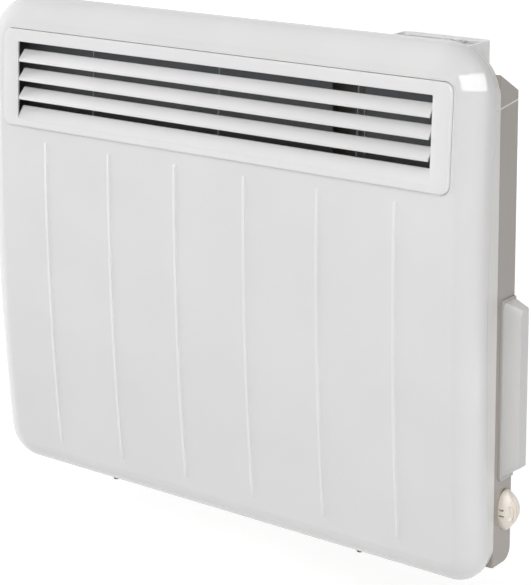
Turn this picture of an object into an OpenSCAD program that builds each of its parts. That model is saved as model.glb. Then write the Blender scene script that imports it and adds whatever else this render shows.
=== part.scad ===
// Wall-hung electric panel heater: pressed steel front with a moulded outlet grille at its top,
// shallow steel case behind it, control pod, side terminal box and room sensor dome.
// Millimetres. X runs to the right seen from the front, Y towards the wall, Z up.
// The origin is the middle of the wall bracket's four holes, on the wall.

/* [Body] */
// width of the front panel
body_w = 508; // [484:4:560]
// height of the front panel
body_h = 430; // [420:2:450]
// distance from the wall to the front face
body_d = 108; // [98:1:118]
// depth of the front frame's band where the bow leaves it narrowest
band_d = 5.6; // [4:0.1:8]
// radius of the gentle vertical bow of the front
bow_r = 2220; // [1900:10:3200]
// radius of the panel's upper corners
corner_r_top = 42; // [32:1:50]
// radius of the panel's lower corners
corner_r_bottom = 30; // [26:1:42]

/* [Front panel] */
// width of the rounded border around the flat field
border_w = 19; // [14:1:22]
// depth from the face to the panel's rear edge
border_d = 22; // [20:1:24]
// flat lip behind the rounded border
lip_d = 6; // [5:0.5:8]
// thickness of the front panel sheet
panel_t = 1.2; // [0.8:0.1:1.4]
// number of raised vertical ribs
rib_count = 6; // [2:1:6]
// distance between ribs
rib_pitch = 72.7; // [60:0.1:76]
// width of one rib
rib_w = 3.4; // [2:0.2:5]
// height of one rib above the face
rib_h = 0.9; // [0.5:0.1:1.4]
// distance from the panel's foot to the ribs' lower ends
rib_foot = 29; // [26:1:60]
// distance from the grille down to the ribs' upper ends
rib_drop = 11; // [8:1:30]

/* [Outlet grille] */
// distance from the panel's side edge to the bezel
grille_side = 24.25; // [24:0.25:34]
// height of the grille bezel
grille_h = 85; // [83:0.5:88]
// distance from the panel's top edge to the bezel
grille_top = 26.8; // [24:0.2:30]
// corner radius of the bezel
grille_r = 8; // [4:1:11]
// width of the bezel at its left and right ends
bezel_side = 16.7; // [14:0.1:20]
// width of the bezel above the first slot
bezel_top = 10.6; // [9.6:0.1:11.6]
// thickness of the bezel
bezel_t = 1.8; // [1.2:0.1:2.4]
// distance between blades
blade_pitch = 16.6; // [16:0.1:16.8]
// height of one sloping blade
blade_h = 10.4; // [9:0.2:12]
// depth of one sloping blade
blade_d = 8; // [7:0.5:10]
// thickness of a blade
blade_t = 1.8; // [1.4:0.1:2.2]
// gap between a blade's right end and the bezel
blade_end_gap = 2.4; // [1.5:0.1:4]
// gap between a blade's left end and the bezel
blade_start_gap = 0.4; // [0.3:0.1:3]
// distance between the mullions behind the blades
mullion_pitch = 137; // [110:1:150]
// width of a mullion
mullion_w = 1.8; // [1.6:0.1:3]

/* [Case] */
// thickness of the case sheet
case_t = 1; // [0.8:0.1:1.2]
// depth from the wall side of the case to its joint with the front frame
case_d = 26.5; // [24:0.5:28]
// distance from the panel's side edge in to the case side
case_inset = 2.5; // [2.2:0.1:4]
// distance from the panel's foot up to the case floor
case_foot = 11; // [10:1:16]
// distance from the panel's top down to the roof's front edge
roof_front = 23.5; // [20:0.5:25]
// distance from the panel's top down to the roof's rear edge
roof_rear = 39; // [35:0.5:40]
// distance from the panel's top down to the seam at the front frame
seam_front = 49.4; // [46:0.2:56]
// distance from the panel's top down to the seam at the back
seam_rear = 46; // [44:0.2:52]
// bend radius at the foot of the case back
case_bend_r = 10; // [5:1:12]
// number of intake slots along the floor
floor_slots = 34; // [16:1:34]
// number of intake slots low on the back
back_slots = 24; // [10:1:24]
// width of an intake slot
slot_w = 4.5; // [3:0.5:6]

/* [Control pod] */
// distance from the panel's right edge to the pod
pod_side = 26; // [20:0.5:28]
// width of the pod
pod_w = 78; // [78:0.5:84]
// drop of the pod's rim below the panel's top edge
pod_drop = 3; // [0:0.5:4]
// depth of the facia below the rim
facia_recess = 2.5; // [2:0.5:4]
// wall thickness of the pod
pod_wall = 2.2; // [1.8:0.1:2.6]
// width of the display window
display_w = 28; // [20:1:30]
// depth of the display window
display_d = 15; // [10:1:16]
// width of a push button
button_w = 9; // [6:0.5:10]
// depth of a push button
button_d = 7; // [5:0.5:8]
// travel of a push button
button_travel = 0.8; // [0.4:0.1:0.9]
// clearance around a push button
button_gap = 0.35; // [0.3:0.05:0.6]
// height of a push button above the facia
button_proud = 1.3; // [1:0.1:2]

/* [Side terminal box] */
// gap between the box flange and the sensor dome below it
box_gap = 9; // [3:0.5:20]
// distance from the panel's top down to the flange
box_drop = 200; // [190:1:210]
// depth of the flange front to back
box_d = 20.4; // [19:0.1:22]
// distance the cover stands out from the case side
box_out = 17.2; // [14:0.2:20]
// wall thickness of the cover
box_wall = 1.8; // [1.2:0.1:2.2]

/* [Sensor dome] */
// height of the dome
dome_h = 34; // [28:1:38]
// radius of the dome's round section
dome_r = 10.4; // [9:0.2:11]
// distance from the panel's foot up to the dome's middle
dome_up = 56; // [48:1:58]
// wall thickness of the dome
dome_wall = 1.5; // [1:0.1:2]

/* [Heating element] */
// radius of the sheathed rod
rod_r = 4; // [3:0.25:5]
// distance between the rod's two legs
rod_gap = 44; // [36:1:50]
// distance from the panel's foot up to the lower leg
element_up = 80; // [72:1:100]
// number of fins
fin_count = 18; // [8:1:20]
// depth of a fin
fin_d = 34; // [24:1:38]
// thickness of a fin
fin_t = 0.8; // [0.5:0.1:1.2]

/* [Wall bracket and fixings] */
// sideways distance between the wall holes
wall_hole_x = 260; // [240:5:260]
// upward distance between the wall holes
wall_hole_z = 200; // [160:5:210]
// diameter of the wall holes
wall_hole_d = 6.5; // [4.5:0.5:8]
// thickness of the bracket sheet
bracket_t = 1.5; // [1.2:0.1:2]
// sideways distance between the two panel screws
panel_screw_x = 266; // [240:2:300]
// radius of a screw's shank
screw_r = 1.6; // [1.2:0.1:1.9]
// radius of a screw's head
screw_head_r = 3; // [2.4:0.1:3.2]
// bore of the cable gland
gland_bore = 7.6; // [6:0.2:8]

/* [Hidden] */
$fn = 48;
top_z = body_h / 2;
foot_z = -body_h / 2;
bow_sag = top_z * top_z / (2 * bow_r);
stand_off = body_d - bow_sag - border_d - band_d - case_d;
back_y = -stand_off;
joint_y = back_y - case_d;
case_x = body_w / 2 - case_inset;
arc_steps = 7;
side_steps = 14;
row_count = 2 * (arc_steps + 1) + side_steps - 1;
crease_a = 12;
round_d = border_d - lip_d;
frame_gap = 0.2;
frame_d = panel_t + frame_gap;
grille_w = body_w - 2 * grille_side;
grille_z = top_z - grille_top - grille_h / 2;
grille_a = atan(grille_z / bow_r);
open_w = grille_w - 2 * bezel_side;
open_top = grille_h / 2 - bezel_top;
blade_0 = open_top - 17.6;
open_foot = blade_0 - 3 * blade_pitch;
bezel_back = 0;
skirt_w = open_w + 14;
skirt_h = grille_h - 12;
skirt_d = 16;
shield_y = -body_d + grille_z * grille_z / (2 * bow_r) + skirt_d + 2.7;
inner_top = top_z - 27;
deflector_z = grille_z - 40.7;
shield_z1 = grille_z - 39.7;
roof_y1 = joint_y;
roof_z1 = top_z - roof_front;
roof_z2 = top_z - roof_rear;
floor_z = foot_z + case_foot;
pod_left = body_w / 2 - pod_side - pod_w;
pod_y1 = -body_d + bow_sag + border_d + 0.3;
pod_rim_z = top_z - pod_drop;
facia_z = pod_rim_z - facia_recess;
facia_t = 2;
board_z = facia_z - 12.4;
pod_mid_y = (pod_y1 + back_y) / 2;
window_x = pod_left + 21;
button_x0 = pod_left + 43.5;
button_dx = 12.5;
button_dy = 12.4;
box_y1 = back_y - 0.5 - box_d;
dome_x = case_x + 1.9;
dome_y = back_y - 9;
dome_z = foot_z + dome_up;
box_z2 = top_z - box_drop;
box_z1 = dome_z + dome_h / 2 + box_gap;
block_h = 56;
block_z1 = (box_z1 + box_z2 - block_h) / 2;
box_hole_z = block_z1 + block_h + 18.5;
wall_x = body_w / 2 - 115;
wall_t = 1;
element_y = (joint_y + back_y) / 2 - 15;
rod_z1 = foot_z + element_up;
rod_z2 = rod_z1 + rod_gap;
fin_h = rod_gap + 40;
bend_x = -case_x + 51.5;
plate_x = bend_x + 6;
fin_x0 = bend_x + 23.5;
fin_pitch = (wall_x - 18 - fin_x0) / (fin_count - 1);
cutout_z = rod_z2 + 61;
earth_z = foot_z + 155;
bracket_x = wall_hole_x / 2;
web_x = bracket_x - 15;
foot_x = web_x - 15;
bracket_h = wall_hole_z + 40;
gland_x = case_x - 46;
gland_y = joint_y + 8.5;
board_x0 = wall_x + 12;
board_w = 90;
board_zc = roof_z2 - 106;
board_h = 100;

function face_y(z) = -body_d + z * z / (2 * bow_r);

// half widths and heights of the rounded outline, inset by d, from the foot to the top
function rows(d) =
  let (rb = max(corner_r_bottom - d, 3))
  let (rt = max(corner_r_top - d, 3))
  let (x = body_w / 2 - d)
  let (z1 = foot_z + d + rb)
  let (z2 = top_z - d - rt)
  concat(
    [for (k = [0 : arc_steps]) let (a = -90 + 90 * k / arc_steps) [x - rb + rb * cos(a), z1 + rb * sin(a)]],
    [for (k = [1 : side_steps - 1]) [x, z1 + (z2 - z1) * k / side_steps]],
    [for (k = [0 : arc_steps]) let (a = 90 * k / arc_steps) [x - rt + rt * cos(a), z2 + rt * sin(a)]]
  );

// one ring of the pressed shell: inset, depth behind the face, or a flat plane
function ring(d, e, flat) = [
  for (p = rows(d))
  for (s = [-1, 1])
  [s * p[0], flat ? e : face_y(p[1]) + e, p[1]]
];

function id(i, j, s) = (i * row_count + j) * 2 + s;

function side_faces(i, n) = [
  for (j = [0 : row_count - 2])
  for (f = [
    [id(i, j, 0), id(n, j, 0), id(n, j + 1, 0)],
    [id(i, j, 0), id(n, j + 1, 0), id(i, j + 1, 0)],
    [id(i, j + 1, 1), id(n, j + 1, 1), id(n, j, 1)],
    [id(i, j + 1, 1), id(n, j, 1), id(i, j, 1)]
  ]) f
];

function strip_faces(i, n) = [
  [id(n, 0, 0), id(i, 0, 0), id(i, 0, 1), id(n, 0, 1)],
  [id(i, row_count - 1, 0), id(n, row_count - 1, 0), id(n, row_count - 1, 1), id(i, row_count - 1, 1)]
];

function front_cap(i) = [
  for (j = [0 : row_count - 2]) [id(i, j, 0), id(i, j + 1, 0), id(i, j + 1, 1), id(i, j, 1)]
];

function back_cap(i) = [
  for (j = [0 : row_count - 2]) [id(i, j, 1), id(i, j + 1, 1), id(i, j + 1, 0), id(i, j, 0)]
];

// a skin of rings, closed by caps or closed on itself
module skin(rings, capped) {
  n = len(rings);
  last = capped ? n - 2 : n - 1;
  pts = [for (r = rings) for (p = ring(r[0], r[1], r[2])) p];
  walls = [for (i = [0 : last]) for (f = concat(side_faces(i, (i + 1) % n), strip_faces(i, (i + 1) % n))) f];
  caps = capped ? concat(front_cap(0), back_cap(n - 1)) : [];
  polyhedron(points = pts, faces = concat(walls, caps), convexity = 6);
}

function border_a(k) = crease_a + (90 - crease_a) * k / 6;
function border_in(k) = border_w * (1 - (sin(border_a(k)) - sin(crease_a)) / (1 - sin(crease_a)));
function border_e(k) = round_d * (cos(crease_a) - cos(border_a(k))) / cos(crease_a);

module box(x1, x2, y1, y2, z1, z2) {
  translate([x1, y1, z1]) cube([x2 - x1, y2 - y1, z2 - z1]);
}

// the panel's rounded outline, inset by d, as a plane figure
module outline(d) {
  half = rows(d);
  polygon(concat(half, [for (k = [row_count - 1 : -1 : 0]) [-half[k][0], half[k][1]]]));
}

// a plane figure drawn in Y and Z, made solid along X
module along_x(x1, x2) {
  translate([x1, 0, 0]) rotate([90, 0, 90]) linear_extrude(height = x2 - x1) children();
}

module rounded(w, h, r) {
  square([w - 2 * r, h], center = true);
  square([w, h - 2 * r], center = true);
  for (sx = [-1, 1])
  for (sy = [-1, 1])
    translate([sx * (w / 2 - r), sy * (h / 2 - r)]) circle(r = r);
}

// a plate in the leaning plane of the grille, from depth v1 to v2
module leaning() {
  translate([0, face_y(grille_z), grille_z]) rotate([-grille_a, 0, 0]) children();
}

module plate(w, h, r, v1, v2) {
  translate([0, v2, 0]) rotate([90, 0, 0]) linear_extrude(height = v2 - v1) rounded(w, h, r);
}

module rod(p, q, r) {
  d = q - p;
  l = norm(d);
  translate(p) rotate([0, acos(d[2] / l), atan2(d[1], d[0])]) cylinder(h = l, r = r, $fn = 20);
}

// a wire through a list of points
module wire(pts, r) {
  for (i = [0 : len(pts) - 2]) rod(pts[i], pts[i + 1], r);
  for (i = [1 : len(pts) - 2]) translate(pts[i]) sphere(r = 1.25 * r, $fn = 20);
}

// Front panel: pressed, bowed sheet with a rounded border, a lip and raised ribs
module rib(x) {
  z1 = foot_z + rib_foot;
  z2 = grille_z - grille_h / 2 - rib_drop;
  n = 16;
  zs = concat([z1, z1 + 3], [for (k = [1 : n - 1]) z1 + (z2 - z1) * k / n], [z2 - 3, z2]);
  m = len(zs);
  pts = [
    for (i = [0 : m - 1])
    let (y = face_y(zs[i]))
    let (h = (i == 0 || i == m - 1) ? 0.02 : rib_h)
    for (q = [[-rib_w / 2, 0.5], [-rib_w / 2, 0.06], [-rib_w * 0.22, -h], [rib_w * 0.22, -h], [rib_w / 2, 0.06], [rib_w / 2, 0.5]])
    [x + q[0], y + q[1], zs[i]]
  ];
  walls = [
    for (i = [0 : m - 2])
    for (k = [0 : 5])
    for (f = [
      [i * 6 + k, (i + 1) * 6 + (k + 1) % 6, i * 6 + (k + 1) % 6],
      [i * 6 + k, (i + 1) * 6 + k, (i + 1) * 6 + (k + 1) % 6]
    ]) f
  ];
  polyhedron(points = pts, faces = concat(walls, [[5, 4, 3, 2, 1, 0]], [[for (k = [0 : 5]) (m - 1) * 6 + k]]), convexity = 4);
}

module front_panel() {
  outer = [for (k = [0 : 6]) [border_in(k), border_e(k), false]];
  inner = [for (k = [6 : -1 : 0]) [border_in(k) + panel_t * sin(border_a(k)), border_e(k) + panel_t * cos(border_a(k)), false]];
  color([0.93, 0.93, 0.92])
  difference() {
    union() {
      skin(concat(outer, [[0, border_d, false], [panel_t, border_d, false]], inner), true);
      for (k = [0 : rib_count - 1]) rib((k - (rib_count - 1) / 2) * rib_pitch);
    }
    leaning() plate(skirt_w + 1, skirt_h + 1, 5.5, -4, 6);
    for (s = [-1, 1])
      translate([s * panel_screw_x / 2, panel_screw_y, foot_z - 2]) cylinder(h = 6, r = screw_r + 0.1, $fn = 24);
  }
}

panel_screw_y = -body_d + foot_z * foot_z / (2 * bow_r) + border_d - lip_d / 2;

// Front frame: the light band between the panel's edge and the case, with its joint flange
module front_frame() {
  e1 = border_d - lip_d + 1;
  color([0.88, 0.88, 0.87])
  difference() {
    union() {
      skin([[frame_d, e1, false], [frame_d, joint_y, true], [frame_d + case_t, joint_y, true], [frame_d + case_t, e1, false]], false);
      translate([0, joint_y, 0]) rotate([90, 0, 0]) linear_extrude(height = case_t) outline(frame_d + 0.3);
      box(-case_x + 0.3, case_x - 0.3, joint_y - case_t, joint_y, floor_z + 0.3, roof_z1 - 0.3);
    }
    intersection() {
      box(-case_x + case_t + 1, case_x - case_t - 1, joint_y - 3, joint_y + 1, floor_z + case_t + 0.6, roof_z1 - case_t - 1);
      translate([0, joint_y + 2, 0]) rotate([90, 0, 0]) linear_extrude(height = 6) outline(frame_d + case_t + 0.4);
    }
    box(pod_left - 0.3, pod_left + pod_w + 0.3, pod_y1 - 0.3, joint_y + 1, roof_z1, top_z + 2);
    for (s = [-1, 1])
      translate([s * panel_screw_x / 2, panel_screw_y, foot_z - 2]) cylinder(h = 6, r = screw_r + 0.1, $fn = 24);
  }
}

// Outlet grille: moulded bezel, three sloping blades, mullions, skirt and clips
module blade(u, x1, x2) {
  t = blade_t / cos(atan(blade_d / blade_h));
  along_x(x1, x2)
    polygon([[-1.1, u], [-1.1, u + t], [blade_d - 2, u + blade_h], [blade_d, u + blade_h], [blade_d, u + blade_h - t / 2], [0, u]]);
}

module outlet_grille() {
  blade_x1 = -open_w / 2 + blade_start_gap;
  blade_x2 = open_w / 2 - blade_end_gap;
  color([0.92, 0.92, 0.91])
  leaning() {
    difference() {
      union() {
        plate(grille_w, grille_h, grille_r, bezel_back - bezel_t, bezel_back);
        plate(skirt_w, skirt_h, 5, bezel_back - 0.5, skirt_d);
        for (x = [-grille_w / 3, 0, grille_w / 3])
        for (s = [-1, 1])
          translate([x, 0, s * (skirt_h / 2 - 0.5)]) box(-9, 9, 3.2, 6.5, -1.6, 1.6);
      }
      translate([0, 0, (open_top + open_foot) / 2]) plate(open_w, open_top - open_foot, 1, -4, 3);
      plate(skirt_w - 4, skirt_h - 4, 3, 2.2, skirt_d + 2);
      for (s = [-1, 1]) box(s * skirt_w / 2 - 3, s * skirt_w / 2 + 3, 5.8, skirt_d + 2, -skirt_h / 2 + 5.5, skirt_h / 2 - 5.5);
    }
    for (k = [0 : 2]) blade(blade_0 - k * blade_pitch, blade_x1, blade_x2);
    along_x(-open_w / 2 - 1, open_w / 2 + 1)
      polygon([[0, open_foot - 1], [-1.1, open_foot], [blade_d - 2, open_foot + blade_h], [blade_d, open_foot + blade_h], [blade_d, open_foot - 1]]);
    for (k = [-1 : 1]) box(k * mullion_pitch - mullion_w / 2, k * mullion_pitch + mullion_w / 2, blade_d + 4, skirt_d, -skirt_h / 2 + 1, skirt_h / 2 - 1);
    for (i = [0 : 3]) {
      u = blade_0 - i * blade_pitch + blade_h;
      for (k = [-1 : 1]) box(k * mullion_pitch - mullion_w / 2, k * mullion_pitch + mullion_w / 2, blade_d - 1.2, blade_d + 4.5, u - 1.6, u);
    }
  }
}

// Case: folded back and floor with end walls, and a sloping roof above a seam
module case_profile(g) {
  y2 = back_y - g;
  r = case_bend_r - g;
  translate([back_y - case_bend_r, floor_z + case_bend_r]) circle(r = r);
  polygon([
    [joint_y, floor_z + g], [back_y - case_bend_r, floor_z + g], [y2, floor_z + case_bend_r],
    [y2, top_z - seam_rear - 0.2], [joint_y, top_z - seam_front - 0.2]
  ]);
}

module case_cavity() {
  y2 = back_y - case_t;
  translate([back_y - case_bend_r, floor_z + case_bend_r]) circle(r = case_bend_r - case_t);
  polygon([
    [joint_y - 2, floor_z + case_t], [back_y - case_bend_r, floor_z + case_t], [y2, floor_z + case_bend_r],
    [y2, top_z], [joint_y - 2, top_z]
  ]);
}

module rear_case() {
  x1 = case_x - case_t;
  color([0.86, 0.85, 0.83])
  difference() {
    along_x(-case_x, case_x) case_profile(0);
    along_x(-x1, x1) case_cavity();
    for (k = [0 : floor_slots - 1])
      translate([-x1 + 10 + k * (x1 + gland_x - 34) / (floor_slots - 1), 0, 0])
        box(0, slot_w, joint_y + 3, back_y - case_bend_r - 1, floor_z - 1, floor_z + 3);
    for (k = [0 : back_slots - 1])
      translate([-x1 + 24 + k * (x1 + wall_x - 50) / (back_slots - 1), 0, 0])
        box(0, slot_w, back_y - 3, back_y + 1, foot_z + 34, foot_z + 62);
    for (s = [-1, 1]) {
      box(s * (foot_x + 7.5) - 7, s * (foot_x + 7.5) + 7, back_y - 3, back_y + 1, bracket_h / 2 - 38, bracket_h / 2 - 20);
      translate([s * (foot_x + 7.5), back_y + 1, -bracket_h / 2 + 30]) rotate([90, 0, 0]) cylinder(h = 3, r = screw_r + 0.1, $fn = 24);
    }
    for (x = roof_screw_xs)
      translate([x, back_y + 1, roof_screw_z]) rotate([90, 0, 0]) cylinder(h = 3, r = screw_r + 0.1, $fn = 24);
    translate([gland_x, gland_y, floor_z - 1]) cylinder(h = 4, r = gland_bore / 2 + 2.5);
    translate([case_x - 3, box_y1 + box_d / 2, box_hole_z]) rotate([0, 90, 0]) cylinder(h = 6, r = 5, $fn = 32);
    translate([case_x - 3, dome_y, dome_z]) rotate([0, 90, 0]) cylinder(h = 6, r = 3, $fn = 32);
    translate([board_x0 + 14, back_y + 1, earth_z]) rotate([90, 0, 0]) cylinder(h = 3, r = 2, $fn = 24);
  }
}

roof_screw_z = top_z - 52;
roof_screw_xs = [-case_x + 30, -70, 70, case_x - 30];

module roof_sheet() {
  polygon([
    [joint_y, roof_z1], [back_y, roof_z2], [back_y, top_z - seam_rear + 0.1], [back_y - case_t, top_z - seam_rear + 0.1],
    [back_y - case_t, roof_z2 - 0.6 * case_t], [joint_y, roof_z1 - 1.2 * case_t]
  ]);
  polygon([[back_y - 2 * case_t, top_z - 58], [back_y - case_t, top_z - 58], [back_y - case_t, roof_z2 - 0.4 * case_t], [back_y - 2 * case_t, roof_z2 - 0.4 * case_t]]);
}

module roof_end() {
  polygon([[joint_y, top_z - seam_front + 0.1], [joint_y, roof_z1], [back_y, roof_z2], [back_y, top_z - seam_rear + 0.1]]);
}

module roof_cover() {
  x1 = case_x - case_t;
  color([0.86, 0.85, 0.83])
  difference() {
    union() {
      along_x(-x1 + 0.1, x1 - 0.1) roof_sheet();
      along_x(-case_x, -x1 + 0.2) roof_end();
      along_x(x1 - 0.2, case_x) roof_end();
    }
    for (x = roof_screw_xs)
      translate([x, back_y + 1, roof_screw_z]) rotate([90, 0, 0]) cylinder(h = 4, r = screw_r + 0.1, $fn = 24);
    box(pod_left + 10, pod_left + 34, joint_y + 6, joint_y + 18, roof_z2 - 4, roof_z1 + 2);
  }
}

module pan_screw(length) {
  cylinder(h = length, r = screw_r, $fn = 24);
  translate([0, 0, -1.2]) cylinder(h = 1.2, r = screw_head_r, $fn = 32);
  difference() {
    translate([0, 0, -2.2]) cylinder(h = 1, r1 = screw_head_r - 0.8, r2 = screw_head_r, $fn = 32);
    for (a = [0, 90]) rotate([0, 0, a]) box(-screw_head_r * 0.6, screw_head_r * 0.6, -0.35, 0.35, -3, -1.4);
  }
}

module panel_screws() {
  color([0.25, 0.25, 0.26])
  for (s = [-1, 1]) translate([s * panel_screw_x / 2, panel_screw_y, foot_z]) pan_screw(5);
}

module roof_screws() {
  color([0.7, 0.7, 0.72])
  for (x = roof_screw_xs) translate([x, back_y, roof_screw_z]) rotate([90, 0, 0]) pan_screw(5);
}

// Air deflector behind the grille: it turns the warm air forward
module air_deflector() {
  y0 = back_y - case_t;
  color([0.22, 0.22, 0.23])
  difference() {
    along_x(-case_x + 8, wall_x - 33)
      polygon([
        [y0 - 0.8, deflector_z - 65], [y0, deflector_z - 65], [y0, deflector_z - 45],
        [shield_y + 5, deflector_z - 0.4], [shield_y + 5, inner_top],
        [shield_y + 4.2, inner_top], [shield_y + 4.2, deflector_z], [y0 - 0.8, deflector_z - 44.7]
      ]);
    for (x = [-180, -60, 60]) translate([x, y0 + 1, deflector_z - 55]) rotate([90, 0, 0]) cylinder(h = 3, r = 1.7, $fn = 20);
  }
}

// Partition between the air channel and the wiring bay
module bay_wall() {
  y0 = back_y - case_t;
  color([0.72, 0.72, 0.73])
  difference() {
    union() {
      along_x(wall_x, wall_x + wall_t)
        polygon([
          [shield_y - 0.4, floor_z + 6], [back_y - case_bend_r, floor_z + 6], [y0, floor_z + case_bend_r],
          [y0, top_z - 58.5], [shield_y - 0.4, top_z - 58.5]
        ]);
      box(wall_x, wall_x + 10, y0 - wall_t, y0, floor_z + 14, roof_z2 - 40);
    }
    for (z = [rod_z1, rod_z2]) translate([wall_x - 2, element_y, z]) rotate([0, 90, 0]) cylinder(h = 6, r = rod_r + 2.7, $fn = 32);
    translate([wall_x - 2, element_y, cutout_z + 30]) rotate([0, 90, 0]) cylinder(h = 6, r = 4, $fn = 32);
    for (s = [-1, 1]) translate([wall_x - 2, element_y, cutout_z + s * 11]) rotate([0, 90, 0]) cylinder(h = 6, r = 1.6, $fn = 20);
  }
}

// Shield in front of the wiring bay, behind the grille's right end
module bay_shield() {
  x1 = wall_x + wall_t;
  color([0.22, 0.22, 0.23]) {
    box(x1, case_x - case_t - 6, shield_y, shield_y + 0.8, shield_z1, inner_top);
    box(x1, x1 + 0.8, shield_y, shield_y + 9, shield_z1 + 6, roof_z2 - 18);
  }
}

// Sheathed heating element: one rod bent back on itself
module heating_element() {
  color([0.45, 0.44, 0.43]) {
    for (z = [rod_z1, rod_z2]) {
      translate([bend_x, element_y, z]) rotate([0, 90, 0]) cylinder(h = wall_x + 16 - bend_x, r = rod_r, $fn = 32);
      translate([wall_x + 16, element_y, z]) rotate([0, 90, 0]) cylinder(h = 8, r = rod_r * 0.45, $fn = 24);
    }
    translate([bend_x, element_y, (rod_z1 + rod_z2) / 2]) rotate([90, 0, 0])
      rotate([0, 0, 90]) rotate_extrude(angle = 180, $fn = 48) translate([rod_gap / 2, 0]) circle(r = rod_r, $fn = 24);
  }
}

module element_fins() {
  color([0.8, 0.81, 0.82])
  for (k = [0 : fin_count - 1])
    difference() {
      translate([fin_x0 + k * fin_pitch - fin_t / 2, element_y - fin_d / 2, (rod_z1 + rod_z2 - fin_h) / 2]) cube([fin_t, fin_d, fin_h]);
      for (z = [rod_z1, rod_z2])
        translate([fin_x0 + k * fin_pitch - 2, element_y, z]) rotate([0, 90, 0]) cylinder(h = 4, r = rod_r, $fn = 16);
    }
}

module element_plate() {
  y0 = back_y - case_t;
  color([0.75, 0.75, 0.76])
  difference() {
    union() {
      box(plate_x, plate_x + wall_t, element_y - 18, y0, rod_z1 - 16, rod_z2 + 16);
      box(plate_x - 12, plate_x + wall_t, y0 - wall_t, y0, rod_z1 - 16, rod_z2 + 16);
    }
    for (z = [rod_z1, rod_z2]) translate([plate_x - 2, element_y, z]) rotate([0, 90, 0]) cylinder(h = 6, r = rod_r + 2.7, $fn = 32);
  }
}

module element_bushes() {
  color([0.9, 0.88, 0.84])
  for (x = [plate_x, wall_x])
  for (z = [rod_z1, rod_z2])
    translate([x, element_y, z]) rotate([0, 90, 0])
      difference() {
        union() {
          translate([0, 0, -4]) cylinder(h = wall_t + 8, r = rod_r + 2.6, $fn = 32);
          translate([0, 0, wall_t]) cylinder(h = 2, r = rod_r + 4.5, $fn = 32);
        }
        translate([0, 0, -6]) cylinder(h = 20, r = rod_r, $fn = 32);
      }
}

// Overheat cut-out on the bay wall, above the element
module thermal_cutout() {
  color([0.86, 0.82, 0.72])
  translate([wall_x, element_y, cutout_z]) rotate([0, -90, 0]) {
    difference() {
      union() {
        cylinder(h = 9, r = 8, $fn = 40);
        box(-15, 15, -2.5, 2.5, 0, 1);
        translate([0, 0, 8.5]) cylinder(h = 2, r = 6, $fn = 32);
      }
      for (s = [-1, 1]) translate([s * 11, 0, -1]) cylinder(h = 4, r = 1.6, $fn = 20);
    }
  }
}

module cutout_screws() {
  color([0.7, 0.7, 0.72])
  for (s = [-1, 1])
    translate([wall_x, element_y, cutout_z + s * 11]) rotate([0, -90, 0]) {
      translate([0, 0, -3]) cylinder(h = 4, r = 1.5, $fn = 20);
      translate([0, 0, 1]) cylinder(h = 1.4, r = 2.4, $fn = 24);
    }
}

// Control pod on the roof, behind the panel's top edge
module pod_plan(g) {
  x1 = pod_left + g;
  x2 = pod_left + pod_w - g;
  y1 = pod_y1 + g;
  y2 = back_y - g;
  r = max(5 - g, 1);
  translate([x1, y1]) square([x2 - x1, y2 - y1 - r]);
  translate([x1 + r, y1]) square([x2 - x1 - 2 * r, y2 - y1]);
  translate([x1 + r, y2 - r]) circle(r = r);
  translate([x2 - r, y2 - r]) circle(r = r);
}

module above_roof(g) {
  slope = (roof_z1 - roof_z2) / (back_y - joint_y);
  along_x(pod_left - 5, pod_left + pod_w + 5)
    polygon([
      [pod_y1 - 5, roof_z1 + g], [joint_y, roof_z1 + g], [back_y, roof_z2 + g],
      [back_y + 5, roof_z2 + g - 5 * slope], [back_y + 5, top_z + 20], [pod_y1 - 5, top_z + 20]
    ]);
}

module pod_housing() {
  color([0.93, 0.93, 0.93])
  difference() {
    union() {
      intersection() {
        translate([0, 0, roof_z2 - 10]) linear_extrude(height = pod_rim_z - roof_z2 + 10) pod_plan(0);
        above_roof(0);
      }
    }
    intersection() {
      translate([0, 0, roof_z2 - 20]) linear_extrude(height = facia_z - facia_t - roof_z2 + 20) pod_plan(pod_wall + 1.5);
      union() {
        above_roof(2);
      }
    }
    translate([0, 0, facia_z - facia_t]) linear_extrude(height = 20) pod_plan(pod_wall);
    box(pod_left + 12, pod_left + 32, joint_y + 7, joint_y + 17, roof_z2 - 6, board_z - 2);
  }
  color([0.93, 0.93, 0.93])
  intersection() {
    for (x = [pod_left + 8, pod_left + pod_w - 8])
    for (y = [pod_y1 + 7.5, back_y - 7.5])
      translate([x, y, roof_z2 - 5]) cylinder(h = board_z - roof_z2 + 5, r = 2.2, $fn = 24);
    above_roof(1);
  }
}

module button_spots() {
  for (c = [0 : 2])
  for (r = [0 : 1])
    translate([button_x0 + c * button_dx, pod_mid_y + (r - 0.5) * button_dy, 0]) children();
}

module pod_facia() {
  color([0.82, 0.83, 0.84])
  difference() {
    translate([0, 0, facia_z - facia_t]) linear_extrude(height = facia_t) pod_plan(pod_wall + 0.1);
    translate([window_x, pod_mid_y, facia_z - 1.2]) linear_extrude(height = 4) rounded(display_w + 0.2, display_d + 0.2, 1.5);
    translate([window_x, pod_mid_y, facia_z - 4]) linear_extrude(height = 6) rounded(display_w - 3, display_d - 3, 1);
    button_spots() translate([0, 0, facia_z - 4]) linear_extrude(height = 6)
      rounded(button_w + 2 * button_gap, button_d + 2 * button_gap, 1.8);
  }
}

module display_window() {
  color([0.12, 0.14, 0.15])
  translate([window_x, pod_mid_y, facia_z - 1.2]) linear_extrude(height = 1) rounded(display_w, display_d, 1.4);
}

module display_module() {
  color([0.62, 0.66, 0.6])
  translate([window_x, pod_mid_y, board_z + 1.6]) {
    box(-display_w / 2 - 1.5, display_w / 2 + 1.5, -display_d / 2 - 0.5, display_d / 2 + 0.5, 0, 6.2);
    box(-display_w / 2 + 2.5, display_w / 2 - 2.5, -display_d / 2 + 2.5, display_d / 2 - 2.5, 6.2, 8.6);
  }
}

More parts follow.
